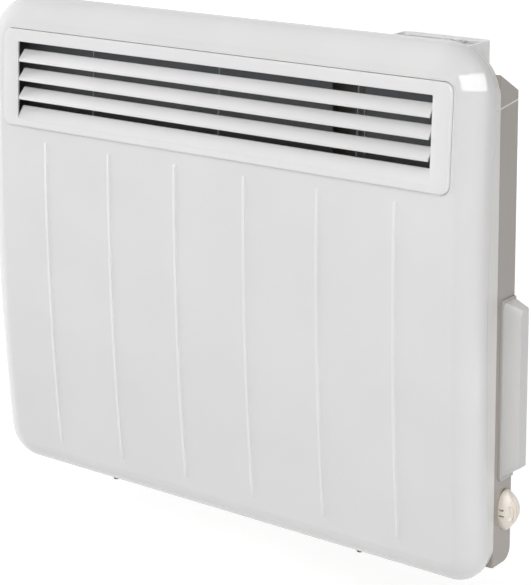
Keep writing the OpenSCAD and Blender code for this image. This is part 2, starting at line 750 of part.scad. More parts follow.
module control_board() {
  color([0.1, 0.36, 0.2])
  difference() {
    box(pod_left + 5, pod_left + pod_w - 5, pod_y1 + 5, back_y - 5, board_z, board_z + 1.6);
    for (x = [pod_left + 8, pod_left + pod_w - 8])
    for (y = [pod_y1 + 7.5, back_y - 7.5])
      translate([x, y, board_z - 1]) cylinder(h = 4, r = 0.9, $fn = 16);
  }
}

module tact_switches() {
  color([0.15, 0.15, 0.16])
  button_spots() {
    translate([0, 0, board_z + 1.6]) {
      box(-2.6, 2.6, -2.6, 2.6, 0, 2.6);
      translate([0, 0, 2.6]) cylinder(h = 0.8, r = 1.6, $fn = 24);
    }
  }
}

// One push button: cap, retaining flange and stem
module push_button(c, r) {
  z0 = facia_z - facia_t;
  color([0.9, 0.9, 0.91])
  translate([button_x0 + c * button_dx, pod_mid_y + (r - 0.5) * button_dy, 0]) {
    translate([0, 0, z0 - 1.5]) linear_extrude(height = facia_t + 1.5 + button_proud - 0.5) rounded(button_w, button_d, 1.6);
    translate([0, 0, facia_z + button_proud - 0.6]) linear_extrude(height = 0.6) rounded(button_w - 1, button_d - 1, 1.2);
    translate([0, 0, z0 - 1.55]) linear_extrude(height = 1.5) rounded(button_w + 2, button_d + 2, 1.6);
    translate([0, 0, board_z + 5.2 + button_travel]) cylinder(h = z0 - 1 - board_z - 5.2 - button_travel, r = 1.5, $fn = 24);
  }
}

module button_power() {
  push_button(0, 0);
}

module button_mode() {
  push_button(0, 1);
}

module button_minus() {
  push_button(1, 0);
}

module button_plus() {
  push_button(1, 1);
}

module button_advance() {
  push_button(2, 0);
}

module button_enter() {
  push_button(2, 1);
}

// Side terminal box: flange, terminal block and snap-on cover with sloping ends
module cut_corner(y1, y2, z1, z2, c) {
  polygon([[y1 + c, z1], [y2, z1], [y2, z2], [y1 + c, z2], [y1, z2 - 2 * c], [y1, z1 + 2 * c]]);
}

module terminal_base() {
  color([0.84, 0.84, 0.83])
  difference() {
    along_x(case_x, case_x + 2) cut_corner(box_y1, box_y1 + box_d, box_z1, box_z2, 2);
    translate([case_x - 1, box_y1 + box_d / 2, box_hole_z]) rotate([0, 90, 0]) cylinder(h = 6, r = 5, $fn = 32);
  }
}

module cover_form(g) {
  x1 = case_x + 2;
  x2 = case_x + box_out - g;
  hull() {
    along_x(x1 - (g > 0 ? 1 : 0), x1 + 0.1) cut_corner(box_y1 + 1.2 + g, box_y1 + box_d - 0.8 - g, box_z1 + 4 + g, box_z2 - 2 - g, 2.6);
    along_x(x2 - 0.1, x2) cut_corner(box_y1 + 2 + g, box_y1 + box_d - 7 - g, box_z1 + 14 + g, box_z2 - 5.5 - g, 2.6);
  }
}

module terminal_cover() {
  color([0.9, 0.9, 0.89])
  difference() {
    cover_form(0);
    cover_form(box_wall);
  }
}

module terminal_block() {
  x1 = case_x + 2;
  y = box_y1 + 4.5;
  z1 = block_z1;
  color([0.9, 0.88, 0.82])
  difference() {
    union() {
      box(x1, x1 + 8, y, y + 7.5, z1, z1 + block_h);
      for (k = [0 : 4]) box(x1 + 8, x1 + 9.5, y + 1, y + 6.5, z1 + 1 + k * 11, z1 + 10 + k * 11);
    }
    for (k = [0 : 4]) translate([x1 + 4, y + 3.75, z1 + 5.5 + k * 11]) rotate([0, 90, 0]) cylinder(h = 8, r = 1.9, $fn = 20);
  }
}

module terminal_screws() {
  x1 = case_x + 6;
  color([0.8, 0.66, 0.34])
  for (k = [0 : 4])
    translate([x1, box_y1 + 8.25, block_z1 + 5.5 + k * 11]) rotate([0, 90, 0])
      difference() {
        cylinder(h = 4.6, r = 1.9, $fn = 20);
        box(-2.5, 2.5, -0.3, 0.3, 3.8, 5);
      }
}

// Room sensor dome low on the right side: a fixed, vented cap over the sensor
module dome_form(g) {
  a = dome_h / 2 - g;
  b = dome_r - g;
  n = 10;
  rotate_extrude($fn = 40)
    polygon(concat([[0, -a]], [for (k = [1 : n - 1]) let (t = -90 + 180 * k / n) [b * pow(cos(t), 0.8), a * sin(t)]], [[0, a]]));
}

module sensor_cap() {
  color([0.91, 0.88, 0.82])
  difference() {
    translate([dome_x, dome_y, dome_z]) dome_form(0);
    translate([dome_x, dome_y, dome_z]) dome_form(dome_wall);
    box(case_x - 20, case_x, dome_y - 20, dome_y + 20, dome_z - 30, dome_z + 30);
    for (a = [2, 22, 42, 60])
      translate([dome_x, dome_y, dome_z]) rotate([0, 0, a]) box(dome_r * 0.4, dome_r + 2, -0.45, 0.45, -10.5, 10.5);
    for (z = [-1.5, 4.5])
      box(case_x + 0.6, case_x + 4.4, dome_y - 20, dome_y, dome_z + z - 0.7, dome_z + z + 0.7);
    translate([case_x + 3.4, dome_y, dome_z + 10]) cylinder(h = 10, r = 0.9, $fn = 20);
  }
}

module sensor_base() {
  color([0.91, 0.88, 0.82])
  difference() {
    along_x(case_x, case_x + 1.4) translate([dome_y, dome_z]) {
      square([12, dome_h - 12], center = true);
      for (s = [-1, 1]) translate([0, s * (dome_h / 2 - 8)]) circle(r = 4.5);
    }
    translate([case_x - 1, dome_y, dome_z]) rotate([0, 90, 0]) cylinder(h = 6, r = 3, $fn = 32);
  }
}

module sensor_bead() {
  color([0.2, 0.2, 0.2]) {
    translate([case_x + 6, dome_y, dome_z]) sphere(r = 1.8, $fn = 24);
    for (s = [-1, 1]) rod([case_x - 12, dome_y, dome_z + s], [case_x + 6, dome_y, dome_z + s], 0.5);
  }
}

// Wiring bay: power board with its parts, stand-offs, earth stud and leads
module power_board() {
  y0 = back_y - 14;
  color([0.1, 0.36, 0.2])
  difference() {
    box(board_x0, board_x0 + board_w, y0 - 1.6, y0, board_zc - board_h / 2, board_zc + board_h / 2);
    for (x = [board_x0 + 5, board_x0 + board_w - 5])
    for (s = [-1, 1])
      translate([x, y0 + 1, board_zc + s * (board_h / 2 - 5)]) rotate([90, 0, 0]) cylinder(h = 4, r = 1.1, $fn = 16);
  }
}

module board_standoffs() {
  y0 = back_y - 14;
  color([0.85, 0.85, 0.83])
  for (x = [board_x0 + 5, board_x0 + board_w - 5])
  for (s = [-1, 1])
    translate([x, y0, board_zc + s * (board_h / 2 - 5)]) rotate([-90, 0, 0]) cylinder(h = 13 - (case_t - 1), r = 3, $fn = 24);
}

module power_relay() {
  y0 = back_y - 15.6;
  color([0.12, 0.2, 0.42]) box(board_x0 + 8, board_x0 + 37, y0 - 16, y0, board_zc + 18, board_zc + 31);
}

module power_transformer() {
  y0 = back_y - 15.6;
  color([0.16, 0.16, 0.17]) {
    box(board_x0 + 48, board_x0 + 76, y0 - 5, y0, board_zc + 14, board_zc + 38);
    box(board_x0 + 50, board_x0 + 74, y0 - 19, y0 - 5, board_zc + 16, board_zc + 36);
  }
}

module power_capacitor() {
  y0 = back_y - 15.6;
  color([0.14, 0.14, 0.2])
  for (z = [board_zc - 14, board_zc + 2])
    translate([board_x0 + 56, y0, z]) rotate([90, 0, 0]) cylinder(h = 13, r = 5, $fn = 32);
}

module board_terminals() {
  y0 = back_y - 15.6;
  color([0.2, 0.42, 0.24]) {
    box(board_x0 + 8, board_x0 + 40, y0 - 10, y0, board_zc - 44, board_zc - 34);
    box(board_x0 + 60, board_x0 + 76, y0 - 7, y0, board_zc + 40, board_zc + 46);
  }
}

module earth_stud() {
  y0 = back_y - case_t;
  color([0.8, 0.66, 0.34])
  translate([board_x0 + 14, back_y + 1.5, earth_z]) rotate([90, 0, 0]) {
    cylinder(h = 14, r = 1.95, $fn = 24);
    translate([0, 0, 1.5 + case_t]) cylinder(h = 3, r = 4, $fn = 32);
  }
}

module internal_leads() {
  yb = back_y - 20;
  zb = board_zc - 39;
  color([0.55, 0.3, 0.2]) {
    wire([[board_x0 + 12, yb, zb - 5], [board_x0 + 12, yb, rod_z2 + 14], [wall_x + 22, element_y, rod_z2 + 5], [wall_x + 22, element_y, rod_z2 + rod_r * 0.45]], 1.2);
    wire([[board_x0 + 22, yb, zb - 5], [board_x0 + 22, yb, rod_z1 + 20], [wall_x + 22, element_y, rod_z1 + 8], [wall_x + 22, element_y, rod_z1 + rod_r * 0.45]], 1.2);
  }
  color([0.2, 0.3, 0.55])
  wire([
    [board_x0 + 32, yb, zb - 5], [board_x0 + 32, yb, box_hole_z], [case_x - 12, box_y1 + box_d / 2, box_hole_z],
    [case_x + 6, box_y1 + box_d / 2, box_hole_z], [case_x + 6, box_y1 + box_d / 2, block_z1 + block_h]
  ], 1.6);
}

module sensor_leads() {
  color([0.85, 0.84, 0.8])
  wire([
    [board_x0 + 68, back_y - 22.6, board_zc + 43], [board_x0 + 68, back_y - 28, board_zc + 43], [board_x0 + 82, back_y - 30, board_zc + 34],
    [board_x0 + 82, back_y - 30, dome_z + 20], [case_x - 15, dome_y, dome_z], [case_x - 12, dome_y, dome_z]
  ], 1.1);
}

module pod_ribbon() {
  color([0.78, 0.78, 0.76])
  wire([
    [board_x0 + 10, back_y - 20, board_zc - 34], [board_x0 + 10, back_y - 20, board_zc - 30], [board_x0 + 4, back_y - 34.5, board_zc - 24],
    [board_x0 + 4, back_y - 34.5, board_zc + 60], [pod_left + 22, joint_y + 12, roof_z2 - 10], [pod_left + 22, joint_y + 12, board_z]
  ], 1.5);
}

// Cable gland in the case floor, with its lock nut inside
module cable_gland() {
  r = gland_bore / 2;
  color([0.16, 0.16, 0.17])
  translate([gland_x, gland_y, floor_z])
    difference() {
      union() {
        translate([0, 0, -4.5]) cylinder(h = 4.5, r = r + 4, $fn = 6);
        translate([0, 0, -10]) cylinder(h = 5.5, r1 = r + 1.8, r2 = r + 3, $fn = 40);
        cylinder(h = 9, r = r + 2.4, $fn = 40);
      }
      translate([0, 0, -12]) cylinder(h = 30, r = r, $fn = 40);
    }
}

module gland_nut() {
  r = gland_bore / 2;
  color([0.16, 0.16, 0.17])
  translate([gland_x, gland_y, floor_z + case_t])
    difference() {
      cylinder(h = 4, r = r + 4.2, $fn = 6);
      translate([0, 0, -1]) cylinder(h = 6, r = r + 2.45, $fn = 40);
    }
}

// Wall bracket: two folded uprights joined by cross bars, with hooks for the case back
module upright() {
  h = bracket_h;
  box(web_x, bracket_x + 15, -bracket_t, 0, -h / 2, h / 2);
  box(web_x, web_x + bracket_t, back_y, 0, -h / 2 + 10, h / 2 - 10);
  box(foot_x, web_x + bracket_t, back_y, back_y + bracket_t, -h / 2 + 10, h / 2 - 10);
  box(foot_x + 2, foot_x + 13, back_y - 5, back_y + bracket_t, h / 2 - 36, h / 2 - 36 + bracket_t);
  box(foot_x + 2, foot_x + 13, back_y - 5, back_y - 5 + bracket_t, h / 2 - 36, h / 2 - 24);
}

module wall_bracket() {
  h = bracket_h;
  color([0.7, 0.71, 0.72])
  difference() {
    union() {
      upright();
      mirror([1, 0, 0]) upright();
      for (s = [-1, 1]) {
        box(-web_x - 1, web_x + 1, -bracket_t, 0, s * (h / 2 - 42) - 13, s * (h / 2 - 42) + 13);
        box(-web_x - 1, web_x + 1, -9, 0, s * (h / 2 - 29) - bracket_t / 2, s * (h / 2 - 29) + bracket_t / 2);
      }
    }
    for (sx = [-1, 1])
    for (sz = [-1, 1])
      translate([sx * wall_hole_x / 2, 1, sz * wall_hole_z / 2]) rotate([90, 0, 0]) cylinder(h = 6, r = wall_hole_d / 2, $fn = 40);
    for (s = [-1, 1])
      translate([s * (foot_x + 7.5), back_y + 4, -h / 2 + 30]) rotate([90, 0, 0]) cylinder(h = 8, r = screw_r + 0.1, $fn = 24);
  }
}

module bracket_screws() {
  color([0.7, 0.7, 0.72])
  for (s = [-1, 1]) translate([s * (foot_x + 7.5), back_y + bracket_t, -bracket_h / 2 + 30]) rotate([90, 0, 0]) pan_screw(7);
}

front_panel();
front_frame();
outlet_grille();
rear_case();
roof_cover();
panel_screws();
roof_screws();
air_deflector();
bay_wall();
bay_shield();
heating_element();
element_fins();
element_plate();
element_bushes();
thermal_cutout();
cutout_screws();
pod_housing();
pod_facia();
display_window();
display_module();
control_board();
tact_switches();
button_power();
button_mode();
button_minus();
button_plus();
button_advance();
button_enter();
terminal_base();
terminal_cover();
terminal_block();
terminal_screws();
sensor_cap();
sensor_base();
sensor_bead();
power_board();
board_standoffs();
power_relay();
power_transformer();
power_capacitor();
board_terminals();
earth_stud();
internal_leads();
sensor_leads();
pod_ribbon();
cable_gland();
gland_nut();
wall_bracket();
bracket_screws();
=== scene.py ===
import math
import bpy
import bmesh
from mathutils import Euler, Matrix, Vector


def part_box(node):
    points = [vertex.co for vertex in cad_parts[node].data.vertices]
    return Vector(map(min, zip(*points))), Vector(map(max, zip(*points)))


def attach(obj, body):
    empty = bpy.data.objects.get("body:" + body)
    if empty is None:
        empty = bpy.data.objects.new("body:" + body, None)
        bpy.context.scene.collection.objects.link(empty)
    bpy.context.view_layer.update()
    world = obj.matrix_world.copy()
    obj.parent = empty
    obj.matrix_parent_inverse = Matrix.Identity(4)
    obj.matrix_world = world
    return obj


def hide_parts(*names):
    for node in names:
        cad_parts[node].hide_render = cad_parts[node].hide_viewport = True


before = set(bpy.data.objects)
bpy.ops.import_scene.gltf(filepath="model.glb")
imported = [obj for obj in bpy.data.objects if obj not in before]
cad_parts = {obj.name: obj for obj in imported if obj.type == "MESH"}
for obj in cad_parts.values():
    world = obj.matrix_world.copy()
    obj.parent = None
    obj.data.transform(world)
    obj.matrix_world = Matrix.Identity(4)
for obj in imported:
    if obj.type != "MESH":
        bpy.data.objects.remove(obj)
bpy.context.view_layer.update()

MM = 0.001
METRE = 1000.0  # in millimetres

# ---------------------------------------------------------------- sizes of the heater, in millimetres
WIDTH, HEIGHT, DEPTH = 508.0, 430.0, 108.0
TOP, FOOT = HEIGHT / 2, -HEIGHT / 2
BOW = 2220.0  # radius of the front's bow
CORNER_TOP, CORNER_FOOT = 42.0, 30.0
CORNER_STEPS = 24  # mesh steps round each corner
BORDER_W, BORDER_D, LIP_D = 19.0, 22.0, 6.0
CREASE = 12  # degrees by which the border leans where it leaves the field
SHEET = 1.2
BAND_INSET, BAND_FRONT, BAND_T = 1.9, 17.0, 1.0  # the front frame's band, inside the panel's border
BACK = -43.489  # the case's rear face
JOINT = BACK - 26.5  # where the case meets the front frame
CASE_X = 251.5  # half the case's width
ROOF_FRONT, FLOOR = TOP - 23.5, FOOT + 11.0
SEAM_FRONT, SEAM_REAR = 49.4, 46.0  # from the top down to the roof's seam, at the joint and at the rear
RIBS = (-2.5, -1.5, -0.5, 0.5, 1.5, 2.5)  # their places, in pitches from the middle
RIB_PITCH, RIB_H, RIB_RISE, RIB_CREST, RIB_FALL = 72.7, 0.88, 2.3, 1.5, 0.8
RIB_FOOT, RIB_TOP, RIB_END = FOOT + 29.0, 92.2, 1.7
RIB_SWELL = 0.12  # how much fuller the rise is than a straight slope
GRID_X, GRID_TOP = 190, 97.6  # where the panel's straight mesh columns and its grid of rows end
DIP_W, DIP_D, ROLL_R, ROLL_D = 2.1, 0.4, 0.6, 1.9  # the panel's edge round the grille: dip and roll
GRILLE_W, GRILLE_H, GRILLE_R = 459.5, 85.0, 8.0
GRILLE_Z = TOP - 26.8 - GRILLE_H / 2
GRILLE_LEAN = math.atan(GRILLE_Z / BOW)
BEZEL_GAP = 0.16
BEZEL_FRONT, BEZEL_BACK, BEZEL_EDGE, OPEN_EDGE = -1.8, 1.3, 1.5, 0.6
OPEN_W, OPEN_TOP = 426.1, 31.9
BLADE_0, BLADE_PITCH, BLADE_H, BLADE_D = 14.3, 16.6, 10.4, 8.0
BLADE_T, BLADE_NOSE, BLADE_TAIL = 1.8, -1.1, BLADE_D - 2
OPEN_FOOT = BLADE_0 - 3 * BLADE_PITCH
SKIRT_W, SKIRT_H, SKIRT_D, SKIRT_T = 440.1, 73.0, 16.0, 2
RAIL_FRONT = 5.8  # the moulded skirt ends here; the rails, drawn grey as painted shade, go on behind it
MULLION_PITCH, MULLION_W = 137.0, 1.3
POD_X0, POD_X1 = 150.0, 228.0
SCREW_TURN = 0.9  # radians by which each screw of a group is turned further than the last
FIN_COUNT, FIN_T, ROD_R, LEG = 18, 0.8, 4.0, 22  # LEG is half the distance between the rod's legs
DOME = Vector((253.4, -52.489, -159.0))
DOME_H, DOME_R, DOME_WALL, DOME_END = 34.0, 10.4, 2.0, 1.8
DOME_TURN = 104  # degrees by which its skin runs round to each side
# how far back each louvre's edge lies on the dome, and half its length
LOUVRES = [(-7.6, 5.8), (-5.0, 9.4), (-2.1, 12.2), (1.1, 13.6), (5.2, 12.0)]
LAST_LOUVRE_W, LOUVRE_STEP, GROOVE_D, GROOVE_W = 4.0, 1.1, 1.8, 0.62


def face_y(z):
    """Depth of the bowed front at a height."""
    return -DEPTH + z * z / (2 * BOW)


# ---------------------------------------------------------------- small helpers
def linear(code):
    """An sRGB hex colour as the linear values a shader takes."""
    parts = [int(code[i : i + 2], 16) / 255 for i in (1, 3, 5)]
    return tuple(c / 12.92 if c <= 0.04045 else ((c + 0.055) / 1.055) ** 2.4 for c in parts) + (1.0,)


def add(tree, kind, values=None, links=None, **settings):
    """Adds one node with its settings, its values and the sockets that feed it."""
    node = tree.nodes.new(kind)
    for key, value in settings.items():
        setattr(node, key, value)
    for key, value in (values or {}).items():
        node.inputs[key].default_value = value
    for key, source in (links or {}).items():
        tree.links.new(source, node.inputs[key])
    return node


def new_object(name, data):
    """A new object in the scene, for a mesh, a camera or a light."""
    obj = bpy.data.objects.new(name, data)
    bpy.context.scene.collection.objects.link(obj)
    return obj


def mesh_object(name, points, faces, outwards=True):
    """A piece from points in millimetres; a closed one gets its faces turned outwards."""
    mesh = bpy.data.meshes.new(name)
    mesh.from_pydata([Vector(p) * MM for p in points], [], faces)
    if outwards:
        bm = bmesh.new()
        bm.from_mesh(mesh)
        bmesh.ops.remove_doubles(bm, verts=bm.verts, dist=1e-7)
        bmesh.ops.recalc_face_normals(bm, faces=bm.faces)
        bm.to_mesh(mesh)
        bm.free()
    return new_object(name, mesh)


def append_solid(points, faces, corners, sides):
    """Adds one more solid to a mesh's lists: its corners, and its sides by number of corner."""
    start = len(points)
    points.extend(corners)
    faces.extend(tuple(start + i for i in side) for side in sides)


BOX_FACES = [(0, 1, 3, 2), (4, 6, 7, 5), (0, 4, 5, 1), (2, 3, 7, 6), (0, 2, 6, 4), (1, 5, 7, 3)]


def box_points(x0, x1, y0, y1, z0, z1):
    return [(x, y, z) for x in (x0, x1) for y in (y0, y1) for z in (z0, z1)]


def block(name, *sides):
    return mesh_object(name, box_points(*sides), BOX_FACES)


def box_mm(node):
    """The box of a solid in millimetres: left, right, front, rear, low and high."""
    low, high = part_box(node)
    return [value / MM for ends in zip(low, high) for value in ends]


def settle(obj):
    """Turns the evaluated object into a plain mesh and removes its modifiers."""
    bpy.context.view_layer.update()
    depsgraph = bpy.context.evaluated_depsgraph_get()
    mesh = bpy.data.meshes.new_from_object(obj.evaluated_get(depsgraph), depsgraph=depsgraph)
    obj.modifiers.clear()
    obj.data = mesh
    mesh.name = obj.name
    return obj


def carve(obj, tool):
    """Cuts the tool's shape out of the piece and removes the tool."""
    cut = obj.modifiers.new("cut", "BOOLEAN")
    cut.object = tool
    cut.solver = "EXACT"
    settle(obj)
    bpy.data.objects.remove(tool)


def smooth(obj, angle):
    """Shades smooth, apart from edges sharper than the angle."""
    obj.data.polygons.foreach_set("use_smooth", [True] * len(obj.data.polygons))
    obj.data.set_sharp_from_angle(angle=math.radians(angle))
    return obj


def soften(obj, width, weighted=True):
    """Rounds the sharp edges by a real radius in millimetres and keeps flat faces flat to the eye."""
    bevel = obj.modifiers.new("round", "BEVEL")
    bevel.width = width * MM
    bevel.segments = 2
    bevel.limit_method = "ANGLE"
    bevel.angle_limit = math.radians(35)
    bevel.use_clamp_overlap = True
    bevel.miter_outer = "MITER_ARC"
    settle(obj)
    smooth(obj, 50)
    if weighted:
        weigh = obj.modifiers.new("weigh", "WEIGHTED_NORMAL")
        weigh.keep_sharp = True
        settle(obj)
    return obj


def fit(obj, finish, body, slot, *nodes):
    """Gives a finished piece its finish and its body, and hides the CAD nodes that it stands for; the slot is not used.
    """
    obj.data.materials.clear()
    obj.data.materials.append(finish)
    for polygon in obj.data.polygons:
        polygon.material_index = 0
    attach(obj, body)
    if nodes:
        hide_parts(*nodes)
    return obj


# ---------------------------------------------------------------- finishes
def blank_material(name):
    """A new material with an empty tree."""
    material = bpy.data.materials.new(name)
    material.use_nodes = True
    material.node_tree.nodes.clear()
    return material, material.node_tree


def shader(name, code, roughness, metallic=0.0, ior=1.5, transmission=0.0):
    """A named finish with its own shader; every constant sits on the shader's socket."""
    material, tree = blank_material(name)
    values = {"Base Color": linear(code), "Roughness": roughness, "Metallic": metallic, "IOR": ior}
    values["Transmission Weight"] = transmission
    surface = add(tree, "ShaderNodeBsdfPrincipled", values)
    add(tree, "ShaderNodeOutputMaterial", links={"Surface": surface.outputs["BSDF"]})
    return material, tree, surface


def tint(tree, surface, code, other, size_mm, stretch=(1, 1, 1)):
    """Lets the colour wander between two near tones in patches of a real size."""
    place = add(tree, "ShaderNodeTexCoord")
    turned = add(tree, "ShaderNodeMapping", {"Scale": stretch}, {"Vector": place.outputs["Object"]})
    cloud = add(tree, "ShaderNodeTexNoise", {"Scale": METRE / size_mm, "Detail": 2.0},
                {"Vector": turned.outputs["Vector"]})
    ramp = add(tree, "ShaderNodeValToRGB", links={"Fac": cloud.outputs["Fac"]})
    for stop, position, tone in zip(ramp.color_ramp.elements, (0.35, 0.65), (code, other)):
        stop.position = position
        stop.color = linear(tone)
    tree.links.new(ramp.outputs["Color"], surface.inputs["Base Color"])
    return turned


def rough_patches(tree, surface, place, size_mm, low, high):
    """Lets the gloss wander, as handling and the spray do."""
    cloud = add(tree, "ShaderNodeTexNoise", {"Scale": METRE / size_mm, "Detail": 3.0},
                {"Vector": place.outputs["Vector"]})
    span = add(tree, "ShaderNodeMapRange", {"To Min": low, "To Max": high}, {"Value": cloud.outputs["Fac"]})
    tree.links.new(span.outputs["Result"], surface.inputs["Roughness"])


def grain(tree, surface, place, size_mm, depth_mm):
    """A fine relief: grain of that size and depth."""
    cloud = add(tree, "ShaderNodeTexNoise", {"Scale": METRE / size_mm, "Detail": 2.0},
                {"Vector": place.outputs["Vector"]})
    relief = add(tree, "ShaderNodeBump", {"Strength": 1.0, "Distance": depth_mm * MM}, {"Height": cloud.outputs["Fac"]})
    tree.links.new(relief.outputs["Normal"], surface.inputs["Normal"])


def powder_coat(name, code, other, low, high, peel_mm=2.6, peel_depth=0.012):
    """Sprayed and baked powder on steel: an even colour, its own gloss and a faint orange peel.
    The real peel is 1 to 1.5 mm across; it is drawn nearly twice as coarse so that it shows."""
    material, tree, surface = shader(name, code, low)
    place = tint(tree, surface, code, other, 90)
    rough_patches(tree, surface, place, 60, low, high)
    grain(tree, surface, place, peel_mm, peel_depth)
    return material


def moulded(name, code, other, low, high, grain_mm=0.9, grain_depth=0.006):
    """Moulded plastic: the colour is in the body, so edges don't wear, and the tool's fine texture shows."""
    material, tree, surface = shader(name, code, low)
    place = tint(tree, surface, code, other, 45)
    rough_patches(tree, surface, place, 25, low, high)
    grain(tree, surface, place, grain_mm, grain_depth)
    return material


def metal(name, code, other, low, high, size_mm, stretch=(1, 1, 1)):
    """Bare metal: patches or drawing lines of a real width in its colour and gloss."""
    material, tree, surface = shader(name, code, low, metallic=1.0)
    place = tint(tree, surface, code, other, size_mm, stretch)
    rough_patches(tree, surface, place, size_mm, low, high)
    grain(tree, surface, place, size_mm * 0.4, 0.003)
    return material


def spangled(name, code, other):
    """Hot-dip galvanised sheet: zinc crystals some 8 mm across, each with its own grey and gloss."""
    material, tree, surface = shader(name, code, 0.4, metallic=1.0)
    place = add(tree, "ShaderNodeTexCoord")
    crystals = add(tree, "ShaderNodeTexVoronoi", {"Scale": METRE / 8}, {"Vector": place.outputs["Object"]})
    ramp = add(tree, "ShaderNodeValToRGB", links={"Fac": crystals.outputs["Color"]})
    for stop, tone in zip(ramp.color_ramp.elements, (code, other)):
        stop.color = linear(tone)
    gloss = add(tree, "ShaderNodeMapRange", {"To Min": 0.3, "To Max": 0.5}, {"Value": crystals.outputs["Color"]})
    tree.links.new(ramp.outputs["Color"], surface.inputs["Base Color"])
    tree.links.new(gloss.outputs["Result"], surface.inputs["Roughness"])
    return material


PANEL = powder_coat("powder_coated_steel_white", "#ECEBEB", "#E9E8E8", 0.07, 0.1, 2.6, 0.008)
BAND = powder_coat("powder_coated_steel_frame", "#EAE9E6", "#E7E6E3", 0.3, 0.36)
# the case is the same white enamel as the panel; this taupe grey is painted shade for its shaded side and roof
CASE = powder_coat("enamelled_steel_case_gloss", "#AFA8A2", "#ACA59F", 0.1, 0.14, 4.0, 0.01)
GRILLE = moulded("moulded_abs_grille_white", "#F1F0F0", "#EFEEEE", 0.26, 0.34)
POD = moulded("moulded_abs_pod_white", "#FBFAFA", "#F9F8F8", 0.32, 0.4)
# the webs and rails behind the blades are white grille moulding; this grey is painted shade
STAY = moulded("moulded_abs_stay_grey", "#868B90", "#82878C", 0.4, 0.5)
# a grey facia, drawn darker still as painted shade for the pod's recess
FACIA = moulded("moulded_abs_facia_grey", "#B4B6B8", "#B0B2B4", 0.4, 0.5)
# white buttons, drawn light grey as painted shade for the pod's recess
BUTTON = moulded("moulded_abs_button_white", "#CBCBCC", "#C8C8C9", 0.3, 0.4)
MARK = moulded("pad_printed_ink_grey", "#8A8D8F", "#858889", 0.5, 0.6)
SIDE_BOX = moulded("moulded_abs_side_box", "#D9D8D8", "#D6D5D5", 0.3, 0.38)
# the terminal box's base is white moulding like its cover; this grey is painted shade where it meets the case
SIDE_BASE = moulded("moulded_abs_side_base", "#BCBAB7", "#B9B7B4", 0.35, 0.42)
DOME_SKIN = moulded("moulded_asa_sensor_cream", "#F3EBE1", "#F0E7DC", 0.36, 0.44, 0.8, 0.004)
TERMINAL = moulded("polyamide_terminal_cream", "#E6E0CE", "#E2DBC7", 0.45, 0.55)
NYLON = moulded("nylon_standoff_natural", "#DAD9D4", "#D5D4CE", 0.4, 0.5)
BLACK = moulded("moulded_nylon_black", "#242527", "#2A2B2D", 0.4, 0.52)
RELAY = moulded("moulded_pbt_relay_blue", "#1F3A78", "#1C356F", 0.35, 0.42)
GREEN_BLOCK = moulded("moulded_pa_terminal_green", "#2F6B3C", "#2B6337", 0.4, 0.5)
DISPLAY = moulded("display_cell_grey", "#8D948A", "#899086", 0.25, 0.3)
LEAD_BROWN = moulded("silicone_lead_brown", "#7A4A2E", "#744529", 0.5, 0.6)
LEAD_WHITE = moulded("silicone_lead_white", "#D9D7CF", "#D3D1C8", 0.5, 0.6)
CAPACITOR = moulded("sleeved_capacitor_blue", "#24263A", "#202235", 0.25, 0.32)
CERAMIC = moulded("steatite_bush_white", "#E8E4DA", "#E0DBCF", 0.6, 0.75, 0.6, 0.01)
BUFF = moulded("steatite_cutout_buff", "#D9CDB4", "#D1C4A9", 0.6, 0.75, 0.6, 0.01)
DARK_SHEET = powder_coat("heatproof_painted_steel_dark", "#55585A", "#5A5D5F", 0.5, 0.6)
ZINC_SHEET = spangled("galvanised_steel_sheet", "#A8ABAE", "#B6B9BB")
SCREW_DARK = metal("blackened_steel_screw", "#3A3B3D", "#454648", 0.38, 0.5, 1.5)
SCREW_ZINC = metal("zinc_plated_steel_screw", "#B9BBBD", "#C6C7C4", 0.28, 0.4, 1.5)
SHEATH = metal("stainless_sheath_heat_stained", "#6E6964", "#8A7A63", 0.35, 0.5, 14, (0.4, 1, 1))
FIN = metal("rolled_aluminium_fin", "#C9CCCE", "#BFC2C4", 0.32, 0.45, 2.2, (1, 0.12, 1))
BRASS = metal("turned_brass", "#C9A95A", "#BF9E4E", 0.25, 0.38, 1.2)


def board_finish():
    """Green solder mask over copper tracks, which show as a lighter green net and stand a little proud."""
    material, tree, surface = shader("solder_masked_board_green", "#1E5B34", 0.3)
    place = add(tree, "ShaderNodeTexCoord")
    sizes = {"Scale": METRE, "Brick Width": 9.0, "Row Height": 2.6, "Mortar Size": 0.5}
    tones = {"Color1": linear("#1E5B34"), "Color2": linear("#20603A"), "Mortar": linear("#2C7A49")}
    tracks = add(tree, "ShaderNodeTexBrick", sizes | tones, {"Vector": place.outputs["Object"]})
    relief = add(tree, "ShaderNodeBump", {"Strength": 0.6, "Distance": 0.04 * MM}, {"Height": tracks.outputs["Fac"]})
    tree.links.new(tracks.outputs["Color"], surface.inputs["Base Color"])
    tree.links.new(relief.outputs["Normal"], surface.inputs["Normal"])
    return material


def smoked_window():
    """Smoked acrylic over the display: dark, a little clear, with a soft gloss and a trace of moulding waves."""
    material, tree, surface = shader("smoked_acrylic_window", "#23282B", 0.22, ior=1.49, transmission=0.35)
    place = tint(tree, surface, "#23282B", "#262B2E", 20)
    grain(tree, surface, place, 9, 0.004)
    return material


BOARD = board_finish()
WINDOW = smoked_window()


# ---------------------------------------------------------------- lofts through closed outlines
def spread(a, b, count):
    """count values strictly between a and b."""
    return [a + (b - a) * (k + 1) / (count + 1) for k in range(count)]


def foot_arc(half, low, r, arc):
    """The right foot corner of an outline, from the foot to the side."""
    turns = [math.radians(90 * k / arc) for k in range(arc + 1)]
    return [(half - r + r * math.sin(a), low + r - r * math.cos(a)) for a in turns]


def head_arc(half, high, r, arc):
    """The right head corner of an outline, from the side to the head."""
    turns = [math.radians(90 * k / arc) for k in range(arc + 1)]
    return [(half - r + r * math.cos(a), high - r + r * math.sin(a)) for a in turns]


